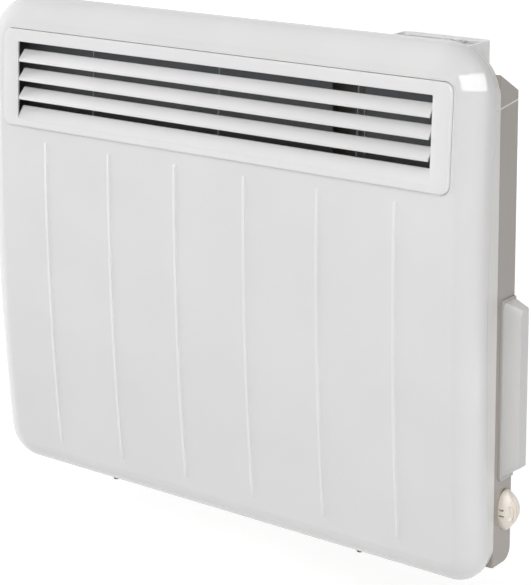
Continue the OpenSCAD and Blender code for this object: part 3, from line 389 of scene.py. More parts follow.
def outline(half, low, high, r_low, r_high, arc, sides, feet=None, heads=None):
    """A closed outline in X and Z, anticlockwise from the left end of the foot. The count of points depends
    only on arc and on how many points the sides, the foot and the head get."""
    feet = feet or spread(-(half - r_low), half - r_low, 24)
    heads = heads or feet
    right = foot_arc(half, low, r_low, arc) + [(half, z) for z in sides] + head_arc(half, high, r_high, arc)
    left = [(-x, z) for x, z in reversed(right)]
    return [(x, low) for x in feet] + right + [(x, high) for x in reversed(heads)] + left


def front_outline(inset, sides, feet, heads):
    """The heater's outline seen from the front, drawn that much smaller."""
    return outline(WIDTH / 2 - inset, FOOT + inset, TOP - inset, CORNER_FOOT - inset, CORNER_TOP - inset,
                   CORNER_STEPS, sides, feet, heads)


def loft(name, loops):
    """A closed skin through loops of the same count of points, the last one joined to the first."""
    count = len(loops[0])
    points = [p for ring in loops for p in ring]
    faces = []
    for i in range(len(loops)):
        n = (i + 1) % len(loops)
        for j in range(count):
            k = (j + 1) % count
            faces.append((i * count + j, i * count + k, n * count + k, n * count + j))
    return mesh_object(name, points, faces)


# ---------------------------------------------------------------- front panel
def border_ring(t):
    """Inset and depth of the rounded border, from the crease at t = 0 to the flank at t = 1."""
    a, a0 = math.radians(CREASE + (90 - CREASE) * t), math.radians(CREASE)
    inset = BORDER_W * (1 - (math.sin(a) - math.sin(a0)) / (1 - math.sin(a0)))
    return inset, (BORDER_D - LIP_D) * (math.cos(a0) - math.cos(a)) / math.cos(a0)


def rib_lift(x, z):
    """Height of the raised ribs over the face: a gentle rise on the left, a steep fall on the right, rounded ends."""
    k = round(x / RIB_PITCH - 0.5) + 0.5
    if abs(k) > RIBS[-1]:
        return 0.0
    d = x - k * RIB_PITCH
    past = max(RIB_FOOT + RIB_END - z, z - (RIB_TOP - RIB_END), 0.0) / RIB_END
    rise = min(max((d + RIB_RISE) / (RIB_RISE + RIB_CREST), 0.0), 1.0)
    fall = min(max((d - RIB_CREST) / RIB_FALL, 0.0), 1.0)
    crest = rise + RIB_SWELL * math.sin(2 * math.pi * (rise - 0.5))
    return RIB_H * crest * 0.5 * (1 + math.cos(math.pi * fall)) * max(1 - past * past, 0.0)


def around_window(x, z, grow):
    """The spot nearest to (x, z) on the grille's window, which is drawn that much larger than it is."""
    w, h, r = GRILLE_W / 2 + BEZEL_GAP, GRILLE_H / 2 + BEZEL_GAP, GRILLE_R + BEZEL_GAP
    cx = min(max(x, r - w), w - r)
    cz = GRILLE_Z + min(max(z - GRILLE_Z, r - h), h - r)
    away = Vector((x - cx, z - cz)).normalized() * (r + grow)
    return cx + away.x, cz + away.y


def window_edge():
    """Rings from the field into the window: growth and depth. The sheet dips, then rolls in round the bezel."""
    rings = [(DIP_W + (ROLL_R - DIP_W) * k / 4, DIP_D * 0.5 * (1 - math.cos(math.pi * k / 4))) for k in range(5)]
    for a in map(math.radians, (18, 36, 54, 72, 90)):
        rings.append((ROLL_R * (1 - math.sin(a)), DIP_D + ROLL_R * (1 - math.cos(a))))
    return rings + [(0.0, ROLL_D)]


def panel_columns():
    """The grid's columns: dense over each rib, wide between the ribs, even beyond the outer ones."""
    over_rib = (-3.1, -2.6, -2.3, -1.9, -1.4, -0.8, -0.2, 0.4, 0.9, 1.25, 1.5, 1.65, 1.8, 1.95, 2.1, 2.25, 2.4, 2.8)
    beyond = (GRID_X, 198, 206, 214, 221.7, 223.6, 225.6, 227.6, 229.6, 231.4, 233.2)
    return sorted(
        [k * RIB_PITCH + d for k in RIBS for d in over_rib]
        + [k * RIB_PITCH + d for k in range(-2, 3) for d in (-24, -12, 0, 12, 24)]
        + [side * d for side in (-1, 1) for d in beyond]
    )


def panel_levels():
    """Heights of the mesh on the panel's straight sides: below the grid's top, and above it."""
    rib_ends = [RIB_TOP + d for d in (-3.4, -2.4, -1.7, -1.2, -0.7, -0.3, 0, 0.6)]
    even = spread(FOOT + CORNER_FOOT, GRID_TOP, 34)
    below = rib_ends + [z for z in even if all(abs(z - q) > 2 for q in rib_ends + [GRID_TOP])]
    above = [99.1, 100.7, 102.3, 104.0, 105.8, 107.7, 109.8, 112.2]
    return sorted(below), above + spread(above[-1], TOP - CORNER_TOP, 12)


def front_panel():
    """The pressed sheet: a grid with the ribs, rings round the grille's window, and the rounded border."""
    half = WIDTH / 2 - BORDER_W
    r_low, r_high = CORNER_FOOT - BORDER_W, CORNER_TOP - BORDER_W
    columns = panel_columns()
    below, above = panel_levels()
    points, faces, grid = [], [], []

    def place(x, z, depth):
        points.append((x, face_y(z) + depth, z))
        return len(points) - 1

    def join(ring, here):
        for j in range(len(ring)):
            k = (j + 1) % len(ring)
            faces.append((ring[j], here[j], here[k], ring[k]))
        return here

    rows = foot_arc(half, FOOT + BORDER_W, r_low, CORNER_STEPS) + [(half, z) for z in below + [GRID_TOP]]
    for reach, z in rows:
        squeeze = min(1.0, (reach - GRID_X) / (half - GRID_X))
        line = [math.copysign(GRID_X + (abs(x) - GRID_X) * squeeze, x) if abs(x) > GRID_X else x for x in columns]
        grid.append([place(x, z, -rib_lift(x, z)) for x in [-reach] + line + [reach]])
    for a, b in zip(grid, grid[1:]):
        faces += [(a[j], a[j + 1], b[j + 1], b[j]) for j in range(len(a) - 1)]
    # the field above the grid runs in rings around the window
    side = [(half, z) for z in above] + head_arc(half, TOP - BORDER_W, r_high, CORNER_STEPS)
    heads = spread(-(half - r_high), half - r_high, 70)
    right = [place(x, z, 0) for x, z in side]
    crown = [place(x, TOP - BORDER_W, 0) for x in reversed(heads)]
    left = [place(-x, z, 0) for x, z in reversed(side)]
    loop = (grid[-1] + right + crown + left)[::-1]
    spots = [(points[i][0], points[i][2]) for i in loop]
    for t in (0.3, 0.6, 0.85):
        ring = []
        for x, z in spots:
            wx, wz = around_window(x, z, DIP_W)
            ring.append(place(x + (wx - x) * t, z + (wz - z) * t, 0))
        loop = join(loop, ring)
    for grow, depth in window_edge():
        loop = join(loop, [place(*around_window(x, z, grow), depth) for x, z in spots])
    # the rounded border, the flank and the turned-in lip
    ring = grid[0] + [line[-1] for line in grid[1:]] + right + crown + left + [line[0] for line in grid[-1:0:-1]]
    feet = [points[i][0] for i in grid[0][1:-1]]
    steps = [border_ring(t) for t in [0.02] + [k / 22 for k in range(1, 23)]]
    steps += [(0.0, 17.0), (0.0, 19.8), (0.1, 20.9), (0.35, 21.6), (0.7, BORDER_D)]
    for inset, depth in steps:
        loop = front_outline(inset, below + [GRID_TOP] + above, feet, heads)
        ring = join(ring, [place(x, z, depth) for x, z in loop[-1:] + loop[:-1]])
    panel = mesh_object("front_panel_pressed", points, faces, outwards=False)
    bm = bmesh.new()
    bm.from_mesh(panel.data)
    bmesh.ops.recalc_face_normals(bm, faces=bm.faces)
    bm.normal_update()
    if sum((f.normal.y * f.calc_area() for f in bm.faces), 0.0) > 0:
        bmesh.ops.reverse_faces(bm, faces=bm.faces)
    bm.to_mesh(panel.data)
    bm.free()
    wall = panel.modifiers.new("sheet", "SOLIDIFY")
    wall.thickness = SHEET * MM
    wall.offset = -1
    wall.use_even_offset = True
    settle(panel)
    smooth(panel, 40)
    return fit(panel, PANEL, "heater", "panel_white", "front_panel")


# ---------------------------------------------------------------- front frame band
def front_frame():
    """The light band between the panel and the case, open where the pod stands, and a plate at the case in the case's
    painted-shade grey.
    """
    band_sides, case_sides = spread(FOOT + CORNER_FOOT, TOP - CORNER_TOP, 40), spread(-180, 165, 40)
    feet, heads = spread(-224, 224, 24), spread(-212, 212, 24)

    def band(inset, depth=None, y=None):
        loop = front_outline(inset, band_sides, feet, heads)
        return [(x, face_y(z) + depth if y is None else y, z) for x, z in loop]

    def mouth(grow, y):
        loop = outline(CASE_X - 2 + grow, FLOOR + 1.6 - grow, ROOF_FRONT - 2 + grow, 20, 24, CORNER_STEPS,
                       case_sides, feet, heads)
        return [(x, y, z) for x, z in loop]

    def plate_rim(y):
        loop = outline(CASE_X - 0.3, FLOOR + 0.3, ROOF_FRONT - 0.3, 1.5, 1.5, CORNER_STEPS, case_sides, feet, heads)
        return [(x, y, z) for x, z in loop]

    outer = [band(BAND_INSET, BAND_FRONT), band(BAND_INSET, y=JOINT - 0.5), band(BAND_INSET + 0.1, y=JOINT - 0.15),
             band(BAND_INSET + 0.4, y=JOINT)]
    mouths = [mouth(0, JOINT), mouth(0, JOINT - BAND_T)]
    inner = [band(BAND_INSET + 1.5, y=JOINT - BAND_T), band(BAND_INSET + BAND_T, y=JOINT - 1.5),
             band(BAND_INSET + BAND_T, BAND_FRONT)]
    frame_band = loft("front_frame_band", outer + mouths + inner)
    pod_front = face_y(TOP) + BORDER_D
    notch = block("notch", POD_X0 - 0.3, POD_X1 + 0.3, pod_front, JOINT + 1, ROOF_FRONT, TOP + 2)
    carve(frame_band, notch)
    smooth(frame_band, 40)
    fit(frame_band, BAND, "heater", "frame_grey_white", "front_frame")

    rear, front = JOINT - 0.05, JOINT - 0.95
    plate = loft("front_frame_corners", [plate_rim(rear), plate_rim(front), mouth(-1, front), mouth(-1, rear)])
    smooth(plate, 40)
    # the plate takes the case's grey, which is painted shade
    fit(plate, CASE, "heater", "case_grey")


def seam_bead():
    """A light strip along the seam between the roof and the case, which runs on across the frame's band: a painted
    highlight, in the panel's white paint, for the folded sheet edges catching light.
    """
    section = ((-0.5, -0.75), (0.15, -0.6), (0.35, 0.0), (0.15, 0.6), (-0.5, 0.75))
    n = len(section)
    sides = [tuple(range(n)), tuple(range(2 * n - 1, n - 1, -1))]
    sides += [(j, (j + 1) % n, n + (j + 1) % n, n + j) for j in range(n)]
    front, rear = TOP - SEAM_FRONT, TOP - SEAM_REAR
    runs = [(252.0, (JOINT - 6.2, front), (JOINT, front)), (251.4, (JOINT - 0.2, front), (BACK, rear))]
    points, faces = [], []
    for side in (-1, 1):
        for x, *ends in runs:
            corners = [(side * (x + dx), y, z + dz) for y, z in ends for dx, dz in section]
            append_solid(points, faces, corners, sides)
    bead = mesh_object("seam_bead", points, faces)
    smooth(bead, 50)
    # the white paint on the grey case is a painted highlight along the seam
    fit(bead, PANEL, "heater", "frame_grey_white")


# ---------------------------------------------------------------- repeated pieces, made by Geometry Nodes
def node_group(name, **sockets):
    """A new group with those inputs, of which the first is the geometry that it works on."""
    tree = bpy.data.node_groups.new(name, "GeometryNodeTree")
    tree.interface.new_socket("Geometry", in_out="INPUT", socket_type="NodeSocketGeometry")
    for label, kind in sockets.items():
        tree.interface.new_socket(label, in_out="INPUT", socket_type="NodeSocket" + kind)
    tree.interface.new_socket("Geometry", in_out="OUTPUT", socket_type="NodeSocketGeometry")
    return tree, add(tree, "NodeGroupInput"), add(tree, "NodeGroupOutput")


def end_group(tree, given, result, copies):
    """Makes the copies real and gives them their finish."""
    real = add(tree, "GeometryNodeRealizeInstances", links={"Geometry": copies.outputs["Instances"]})
    done = add(tree, "GeometryNodeSetMaterial",
               links={"Geometry": real.outputs["Geometry"], "Material": given.outputs["Finish"]})
    tree.links.new(done.outputs["Geometry"], result.inputs["Geometry"])
    return tree


def row_group():
    """One copy after another along a step: blades, fins."""
    tree, given, result = node_group("row_of_pieces", Count="Int", Step="Vector", Finish="Material")
    line = add(tree, "GeometryNodeMeshLine", links={"Count": given.outputs["Count"], "Offset": given.outputs["Step"]})
    copies = add(tree, "GeometryNodeInstanceOnPoints",
                 links={"Points": line.outputs["Mesh"], "Instance": given.outputs["Geometry"]})
    return end_group(tree, given, result, copies)


def spots_group():
    """One copy at each spot, facing one way, each turned a little further than the last: screws."""
    tree, given, result = node_group("pieces_on_spots", Piece="Object", Facing="Rotation", Turn="Float",
                                     Finish="Material")
    piece = add(tree, "GeometryNodeObjectInfo", links={"Object": given.outputs["Piece"]})
    copies = add(tree, "GeometryNodeInstanceOnPoints",
                 links={"Points": given.outputs["Geometry"], "Instance": piece.outputs["Geometry"],
                        "Rotation": given.outputs["Facing"]})
    number = add(tree, "GeometryNodeInputIndex")
    angle = add(tree, "ShaderNodeMath", operation="MULTIPLY",
                links={0: number.outputs["Index"], 1: given.outputs["Turn"]})
    spin = add(tree, "ShaderNodeCombineXYZ", links={"Z": angle.outputs["Value"]})
    turned = add(tree, "GeometryNodeRotateInstances",
                 links={"Instances": copies.outputs["Instances"], "Rotation": spin.outputs["Vector"]})
    return end_group(tree, given, result, turned)


ROW = row_group()
SPOTS = spots_group()


def run_group(obj, tree, **values):
    """Sets the tree's inputs by their identifiers, then makes the result a plain mesh."""
    grow = obj.modifiers.new("repeat", "NODES")
    grow.node_group = tree
    sockets = {item.name: item.identifier for item in tree.interface.items_tree if item.in_out == "INPUT"}
    for label, value in values.items():
        grow[sockets[label]] = value
    return settle(obj)


# ---------------------------------------------------------------- screws
DOWN, TO_WALL = Euler((math.pi, 0, 0)), Euler((-math.pi / 2, 0, 0))
TO_LEFT, TO_RIGHT = Euler((0, -math.pi / 2, 0)), Euler((0, math.pi / 2, 0))


def turned_piece(name, profile, steps=32):
    """A turned solid about Z from a profile of (radius, height) that starts and ends on the axis."""
    turns = [2 * math.pi * k / steps for k in range(steps)]
    points = [(r * math.cos(a), r * math.sin(a), z) for r, z in profile for a in turns]
    faces = []
    for i in range(len(profile) - 1):
        for k in range(steps):
            n = (k + 1) % steps
            faces.append((i * steps + k, i * steps + n, (i + 1) * steps + n, (i + 1) * steps + k))
    return mesh_object(name, points, faces)


def pan_screw(length, shank=1.6, head=3.0, rise=2.2, slots=2):
    """A pan head with a driven recess over its shank, head up: two slots make a cross."""
    edge = rise * 0.45
    profile = [(0, -length), (shank * 0.7, -length), (shank, -length + 0.6), (shank, 0)]
    profile += [(head - 0.15, 0), (head, 0.2), (head, edge)]
    for a in map(math.radians, (20, 40, 58, 72, 83)):
        profile.append((head * math.cos(a), edge + rise * 0.55 * math.sin(a)))
    screw = turned_piece("screw", profile + [(0, rise)])
    for turn in range(slots):
        tool = block("tool", -head * 0.6, head * 0.6, -0.36, 0.36, rise * 0.62, rise + 1)
        tool.data.transform(Matrix.Rotation(math.pi / 2 * turn, 4, "Z"))
        carve(screw, tool)
    return smooth(screw, 40)


def screws(name, node, spots, facing, finish, slot, length, **shape):
    """All screws of one kind, head on its seat, in one mesh."""
    screw = pan_screw(length, **shape)
    group = mesh_object(name, spots, [], outwards=False)
    run_group(group, SPOTS, Piece=screw, Facing=facing, Turn=SCREW_TURN, Finish=finish)
    bpy.data.objects.remove(screw)
    return fit(group, finish, "heater", slot, node)


def all_screws():
    """The panel's, roof's, bracket's, cut-out's and terminals' screws."""
    panel_y = face_y(FOOT) + BORDER_D - LIP_D
    screws("panel_screws_dark", "panel_screws", [(x, panel_y, FOOT) for x in (-133, 133)],
           DOWN, SCREW_DARK, "screw_dark", 5)
    screws("roof_screws_zinc", "roof_screws", [(x, BACK, TOP - 52) for x in (-221.5, -70, 70, 221.5)],
           TO_WALL, SCREW_ZINC, "screw_zinc", 5)
    screws("bracket_screws_zinc", "bracket_screws", [(x, BACK + 1.5, -90) for x in (-107.5, 107.5)],
           TO_WALL, SCREW_ZINC, "screw_zinc", 7)
    _, _, front, rear, low, high = box_mm("cutout_screws")
    screws("cutout_screws_zinc", "cutout_screws", [(138.0, (front + rear) / 2, z) for z in (low + 2.4, high - 2.4)],
           TO_LEFT, SCREW_ZINC, "screw_zinc", 4, shank=1.5, head=2.4, rise=1.4)
    _, right, front, rear, low, _ = box_mm("terminal_screws")
    spots = [(right - 1.4, (front + rear) / 2, low + 1.9 + 11 * k) for k in range(5)]
    screws("terminal_screws_brass", "terminal_screws", spots,
           TO_RIGHT, BRASS, "brass", 3.2, shank=1.6, head=1.9, rise=1.4, slots=1)


# ---------------------------------------------------------------- outlet grille
# its pieces are drawn upright about the grille's middle, with Y from the seat inwards, and then lean with the bow
LEAN = Matrix.Translation(Vector((0, face_y(GRILLE_Z), GRILLE_Z)) * MM) @ Matrix.Rotation(-GRILLE_LEAN, 4, "X")


def bezel():
    """One moulding: rounded bezel, opening, and the skirt behind it."""

    def ring(w, top, foot, r, v):
        return [(x, v, u) for x, u in outline(w / 2, foot, top, r, r, 10, spread(foot + r, top - r, 8))]

    def outer(inset, v):
        return ring(GRILLE_W - 2 * inset, GRILLE_H / 2 - inset, -GRILLE_H / 2 + inset, GRILLE_R - inset, v)

    def skirt(inset, v):
        return ring(SKIRT_W - 2 * inset, SKIRT_H / 2 - inset, -SKIRT_H / 2 + inset, 5 - inset, v)

    loops = [outer(0, BEZEL_BACK), outer(0, BEZEL_FRONT + BEZEL_EDGE)]
    for k in range(1, 7):
        a = math.radians(15 * k)
        loops.append(outer(BEZEL_EDGE * (1 - math.cos(a)), BEZEL_FRONT + BEZEL_EDGE * (1 - math.sin(a))))
    for k in range(5):
        a = math.radians(22.5 * k)
        grow, v = OPEN_EDGE * (1 - math.sin(a)), BEZEL_FRONT + OPEN_EDGE * (1 - math.cos(a))
        loops.append(ring(OPEN_W + 2 * grow, OPEN_TOP + grow, OPEN_FOOT - grow, 1 + grow, v))
    loops.append(ring(OPEN_W, OPEN_TOP, OPEN_FOOT, 1, BEZEL_FRONT + 1.1))
    loops += [skirt(SKIRT_T, BEZEL_FRONT + 1.5), skirt(SKIRT_T, RAIL_FRONT), skirt(0, RAIL_FRONT), skirt(0, BEZEL_BACK)]
    piece = loft("grille_bezel", loops)
    piece.data.transform(LEAN)
    smooth(piece, 40)
    return fit(piece, GRILLE, "heater", "grille_abs", "outlet_grille")


def prism(name, profile, x0, x1):
    """A profile in depth and height, made solid along X."""
    n = len(profile)
    points = [(x0, v, u) for v, u in profile] + [(x1, v, u) for v, u in profile]
    faces = [tuple(range(n)), tuple(range(2 * n - 1, n - 1, -1))]
    faces += [(j, (j + 1) % n, n + (j + 1) % n, n + j) for j in range(n)]
    return mesh_object(name, points, faces)


def blades():
    """Three sloping blades, and a last slope that closes the opening's foot."""
    t = BLADE_T / math.cos(math.atan(BLADE_D / BLADE_H))
    u, head = BLADE_0, BLADE_0 + BLADE_H
    profile = [(BLADE_NOSE, u), (BLADE_NOSE, u + t), (BLADE_TAIL, head), (BLADE_D, head), (BLADE_D, head - t / 2)]
    row = prism("grille_blades", profile + [(0, u)], -OPEN_W / 2 + 0.4, OPEN_W / 2 - 2.4)
    soften(row, 0.3, weighted=False)
    run_group(row, ROW, Count=3, Step=(0, 0, -BLADE_PITCH * MM), Finish=GRILLE)
    row.data.transform(LEAN)
    smooth(row, 50)
    fit(row, GRILLE, "heater", "grille_abs")

    u, head = OPEN_FOOT, OPEN_FOOT + BLADE_H
    profile = [(0, u - 1), (BLADE_NOSE, u), (BLADE_TAIL, head), (BLADE_D, head), (BLADE_D, u - 1)]
    foot = prism("grille_foot_slope", profile, -OPEN_W / 2 - 1, OPEN_W / 2 + 1)
    soften(foot, 0.3)
    foot.data.transform(LEAN)
    fit(foot, GRILLE, "heater", "grille_abs")


def mullions():
    """Upright webs behind the blades, with a foot on each blade, between the skirt's two rails: the grille's white
    moulding, drawn grey as painted shade.
    """
    points, faces = [], []

    def web(*sides):
        append_solid(points, faces, box_points(*sides), BOX_FACES)

    half, end = MULLION_W / 2, SKIRT_H / 2 - SKIRT_T - 0.2
    for x in (-MULLION_PITCH, 0, MULLION_PITCH):
        web(x - half, x + half, BLADE_D + 4, BLADE_D + 5.6, -end, end)
        for i in range(4):
            u = BLADE_0 - i * BLADE_PITCH + BLADE_H
            web(x - 0.4, x + 0.4, BLADE_D - 0.2, BLADE_D + 3.9, u - 2.2, u - 0.9)
    for low in (-SKIRT_H / 2, SKIRT_H / 2 - SKIRT_T):
        web(-SKIRT_W / 2 + 5, SKIRT_W / 2 - 5, RAIL_FRONT + 0.1, SKIRT_D, low, low + SKIRT_T)
    stays = mesh_object("grille_mullions", points, faces)
    soften(stays, 0.2)
    stays.data.transform(LEAN)
    return fit(stays, STAY, "heater", "facia_grey")


# ---------------------------------------------------------------- element fins
def fins():
    """Rolled fins in a row, bored where they are pressed on the rod's two legs."""
    left, right, front, rear, low, high = box_mm("element_fins")
    plate = block("element_fins_rolled", left, left + FIN_T, front, rear, low, high)
    for leg in (-LEG, LEG):
        tool = turned_piece("tool", [(0, -3), (ROD_R, -3), (ROD_R, 3), (0, 3)], 24)
        middle = Vector((left, (front + rear) / 2, (low + high) / 2 + leg))
        tool.data.transform(Matrix.Translation(middle * MM) @ Matrix.Rotation(math.pi / 2, 4, "Y"))
        carve(plate, tool)
    smooth(plate, 40)
    pitch = (right - left - FIN_T) / (FIN_COUNT - 1)
    run_group(plate, ROW, Count=FIN_COUNT, Step=(pitch * MM, 0, 0), Finish=FIN)
    return fit(plate, FIN, "heater", "fin_aluminium", "element_fins")


# ---------------------------------------------------------------- sensor dome
def louvre_drop(y, z):
    """How far the dome's skin lies under its smooth form: each louvre dives behind the edge of the one before it,
    with a groove right behind that edge."""
    drop = 0.0
    for k, (edge, reach) in enumerate(LOUVRES):
        ends = min(max((reach - abs(z)) / 1.2, 0.0), 1.0)
        width = LOUVRES[k + 1][0] - edge if k + 1 < len(LOUVRES) else LAST_LOUVRE_W
        past = (y - edge) / width
        if 0.0 <= past < 1.0:
            drop = max(drop, LOUVRE_STEP * (1 - past) ** 1.5 * ends)
        drop = max(drop, GROOVE_D * math.exp(-(((y - edge - 0.3) / GROOVE_W) ** 4)) * ends)
    return drop


def dome_skin(turn, rise, inner):
    """A spot on the dome, at a turn about its upright axis from straight out and a rise from its middle, in degrees.
    The skin is blunt at the ends on the room's side and more pointed on the wall's side."""
    a, t = math.radians(turn), math.radians(rise)
    lean = min(max((turn + 70) / 80, 0.0), 1.0)
    blunt, pointed = 0.8, 1.75
    b = DOME_R * max(math.cos(t), 0.0) ** (blunt + (pointed - blunt) * lean * lean * (3 - 2 * lean))
    x, y, z = b * math.cos(a), b * math.sin(a), DOME_H / 2 * math.sin(t)
    if inner:
        b = max(b - DOME_WALL, 0.0)
        return b * math.cos(a), b * math.sin(a), z * (DOME_H / 2 - DOME_END) / (DOME_H / 2)
    n = Vector((x / DOME_R**2, y / DOME_R**2, z / (DOME_H / 2) ** 2)).normalized()
    drop = louvre_drop(y, z) * min(max((x - 0.6) / 1.4, 0.0), 1.0)  # the louvres fade out by the case
    return x - n.x * drop, y - n.y * drop, z - n.z * drop


def sensor_dome():
    """Vented cap: stepped louvres round its outside and two short slots by the case on the room's side."""
    across, up = 190, 150  # mesh steps
    points, faces = [], []
    for inner in (False, True):
        for j in range(up + 1):
            for i in range(across + 1):
                x, y, z = dome_skin(-DOME_TURN + 2 * DOME_TURN * i / across, -90 + 180 * j / up, inner)
                points.append((max(DOME.x + x, CASE_X + 0.02), DOME.y + y, DOME.z + z))
    side = (across + 1) * (up + 1)
    for j in range(up):
        for i in range(across):
            a, b = j * (across + 1) + i, (j + 1) * (across + 1) + i
            faces.append((a, a + 1, b + 1, b))
            faces.append((side + a, side + b, side + b + 1, side + a + 1))
    for j in range(up):
        for i in (0, across):
            a, b = j * (across + 1) + i, (j + 1) * (across + 1) + i
            faces.append((a, b, side + b, side + a))
    dome = mesh_object("sensor_cap_vented", points, faces)
    for z in (DOME.z - 3.4, DOME.z + 1.5):
        carve(dome, block("tool", CASE_X + 0.6, CASE_X + 4.9, DOME.y - 14, DOME.y - 2, z, z + 1.4))
    pin = turned_piece("tool", [(0, 10), (0.75, 10), (0.75, 20), (0, 20)], 20)
    pin.data.transform(Matrix.Translation(Vector((CASE_X + 2.7, DOME.y - 0.8, DOME.z)) * MM))
    carve(dome, pin)
    smooth(dome, 38)
    return fit(dome, DOME_SKIN, "heater", "sensor_cream", "sensor_cap")


# ---------------------------------------------------------------- pieces that keep the solid's shape
def refined(node, finish, slot, width, body="heater"):
    """A merged copy of the solid's mesh with its edges rounded as its sheet or moulding has them."""
    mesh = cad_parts[node].data.copy()
    bm = bmesh.new()
    bm.from_mesh(mesh)
    bmesh.ops.remove_doubles(bm, verts=bm.verts, dist=2e-6)
    bmesh.ops.join_triangles(bm, faces=bm.faces, angle_face_threshold=math.radians(0.5), angle_shape_threshold=math.pi)
    bm.to_mesh(mesh)
    bm.free()
    piece = new_object(node + "_finished", mesh)
    soften(piece, width)
    return fit(piece, finish, body, slot, node)


# node, finish, slot and edge radius in millimetres
KEPT = [
    ("rear_case", CASE, "case_grey", 0.35), ("roof_cover", CASE, "case_grey", 0.3),
    ("air_deflector", DARK_SHEET, "dark_sheet", 0.15), ("bay_wall", ZINC_SHEET, "galvanised", 0.15),
    ("bay_shield", DARK_SHEET, "dark_sheet", 0.15), ("heating_element", SHEATH, "element_sheath", 0.2),
    ("element_plate", ZINC_SHEET, "galvanised", 0.15), ("element_bushes", CERAMIC, "ceramic_white", 0.3),
    ("thermal_cutout", BUFF, "ceramic_buff", 0.25), ("pod_housing", POD, "pod_abs", 1.4),
    ("pod_facia", FACIA, "facia_grey", 0.25), ("display_window", WINDOW, "window_smoke", 0.2),
    ("display_module", DISPLAY, "display_grey", 0.2), ("control_board", BOARD, "board_green", 0.1),
    ("tact_switches", BLACK, "black_plastic", 0.15), ("terminal_base", SIDE_BASE, "side_box_white", 0.5),
    ("terminal_cover", SIDE_BOX, "side_box_white", 0.9), ("terminal_block", TERMINAL, "terminal_cream", 0.3),
    ("sensor_base", DOME_SKIN, "sensor_cream", 0.2), ("sensor_bead", BLACK, "black_plastic", 0.1),
    ("power_board", BOARD, "board_green", 0.1), ("board_standoffs", NYLON, "nylon_white", 0.3),
    ("power_relay", RELAY, "relay_blue", 0.5), ("power_transformer", BLACK, "black_plastic", 0.5),
    ("power_capacitor", CAPACITOR, "capacitor_blue", 0.6), ("board_terminals", GREEN_BLOCK, "terminal_green", 0.3),
    ("earth_stud", BRASS, "brass", 0.2), ("internal_leads", LEAD_BROWN, "lead_brown", 0.05),
    ("sensor_leads", LEAD_WHITE, "lead_white", 0.05), ("pod_ribbon", LEAD_WHITE, "lead_white", 0.05),
    ("cable_gland", BLACK, "black_plastic", 0.4), ("gland_nut", BLACK, "black_plastic", 0.3),
    ("wall_bracket", ZINC_SHEET, "galvanised", 0.3),
]
BUTTONS = ("power", "mode", "minus", "plus", "advance", "enter")
STROKE = (-1.6, 0, 1.6, 0, 0.6)  # both ends of a sign's stroke and its width
UPRIGHT_STROKE = (0, -1.6, 0, 1.6, 0.6)


def marks(name, button, strokes):
    """A pad-printed sign on a button: flat strokes of ink, 0.05 mm thick."""
    left, right, front, rear, _, top = box_mm(button)
    cx, cy = (left + right) / 2, (front + rear) / 2
    sides = ((0, 1, 2, 3), (7, 6, 5, 4), (0, 4, 5, 1), (1, 5, 6, 2), (2, 6, 7, 3), (3, 7, 4, 0))
    points, faces = [], []
    for x0, y0, x1, y1, width in strokes:
        start, end = Vector((x0, y0, 0)), Vector((x1, y1, 0))
        along = (end - start).normalized()
        out = Vector((-along.y, along.x, 0)) * width / 2
        rim = (start + out, start - out, end - out, end + out)
        append_solid(points, faces, [(cx + p.x, cy + p.y, z) for z in (top - 0.02, top + 0.05) for p in rim], sides)
    ink = mesh_object(name, points, faces)
    return fit(ink, MARK, button, "button_white")


# ---------------------------------------------------------------- camera, light, floor
PICTURE_W, PICTURE_H, SENSOR = 531, 585, 36
SKY_LEVEL = 0.2  # of the white surround, where it gives light instead of being seen
WHITE = (1, 1, 1, 1)
FLOOR_Z, FLOOR_HALF = -300, 9000
FLOOR_PAINT = (0.8, 0.8, 0.8, 1)
# place, target and size in metres, and power in watts
LAMPS = {
    "front_high": ((0.00, -1.89, 1.54), (0, -0.05, 0), (1.6, 1.2), 16.2),
    "front_low": ((0.0, -2.44, 0.2), (0, -0.05, 0), (1.6, 1.2), 4),
    "left_side": ((-3.39, -0.65, 0.61), (0, -0.05, 0), (1.2, 1.2), 62),
    "right_front": ((1.08, -2.0, 0.97), (0.1, -0.05, 0), (1.0, 1.0), 4.5),
    "right_high": ((0.85, -0.75, 2.0), (0.2, -0.05, 0.1), (1.0, 1.0), 9),
    "low_wide": ((1.0, -0.15, -0.22), (0.25, -0.05, -0.19), (0.5, 0.25), 1.9),
    "back_fill": ((-0.73, 1.95, 1.49), (0, -0.05, 0), (1.6, 1.2), 8),
}
# a bright window on a sphere round the panel's top right corner, in millimetres; turn and height, in degrees seen
# from there, along the window's head and then its sill
WINDOW_MIDDLE, WINDOW_DISTANCE, WINDOW_GLOW = Vector((245, -92, 188)), 2000, 7.5
WINDOW_EDGES = [(-6, 24, -5, 8), (14, 34, 15, 12), (40, 43, 38, 15),
                (70, 45, 62, 16), (100, 43, 84, 15), (122, 36, 98, 12)]


def camera():
    """Stands where the photograph was taken from: right of the heater and above its middle."""
    focal, cx, cy = 1996.5170, 236.25, 193.05  # in pixels of the picture
    yaw, pitch, roll = -0.66862610, 0.24779080, -0.01588054
    shift = Vector((44.0470, 49.1858, 1729.1910))
    level = Matrix(((1, 0, 0), (0, 0, -1), (0, 1, 0)))
    turn = Matrix.Rotation(roll, 3, "Z") @ Matrix.Rotation(pitch, 3, "X") @ level @ Matrix.Rotation(yaw, 3, "Z")
    place = -(turn.transposed() @ shift) * MM
    data = bpy.data.cameras.new("camera")
    data.sensor_width = SENSOR
    data.lens = focal * SENSOR / PICTURE_H
    data.shift_x = (PICTURE_W / 2 - cx) / PICTURE_H
    data.shift_y = (cy - PICTURE_H / 2) / PICTURE_H
    data.clip_start, data.clip_end = 0.05, 60
    obj = new_object("camera", data)
    axes = Matrix((turn[0], -turn[1], -turn[2])).transposed()
    obj.matrix_world = Matrix.Translation(place) @ axes.to_4x4()
    bpy.context.scene.camera = obj


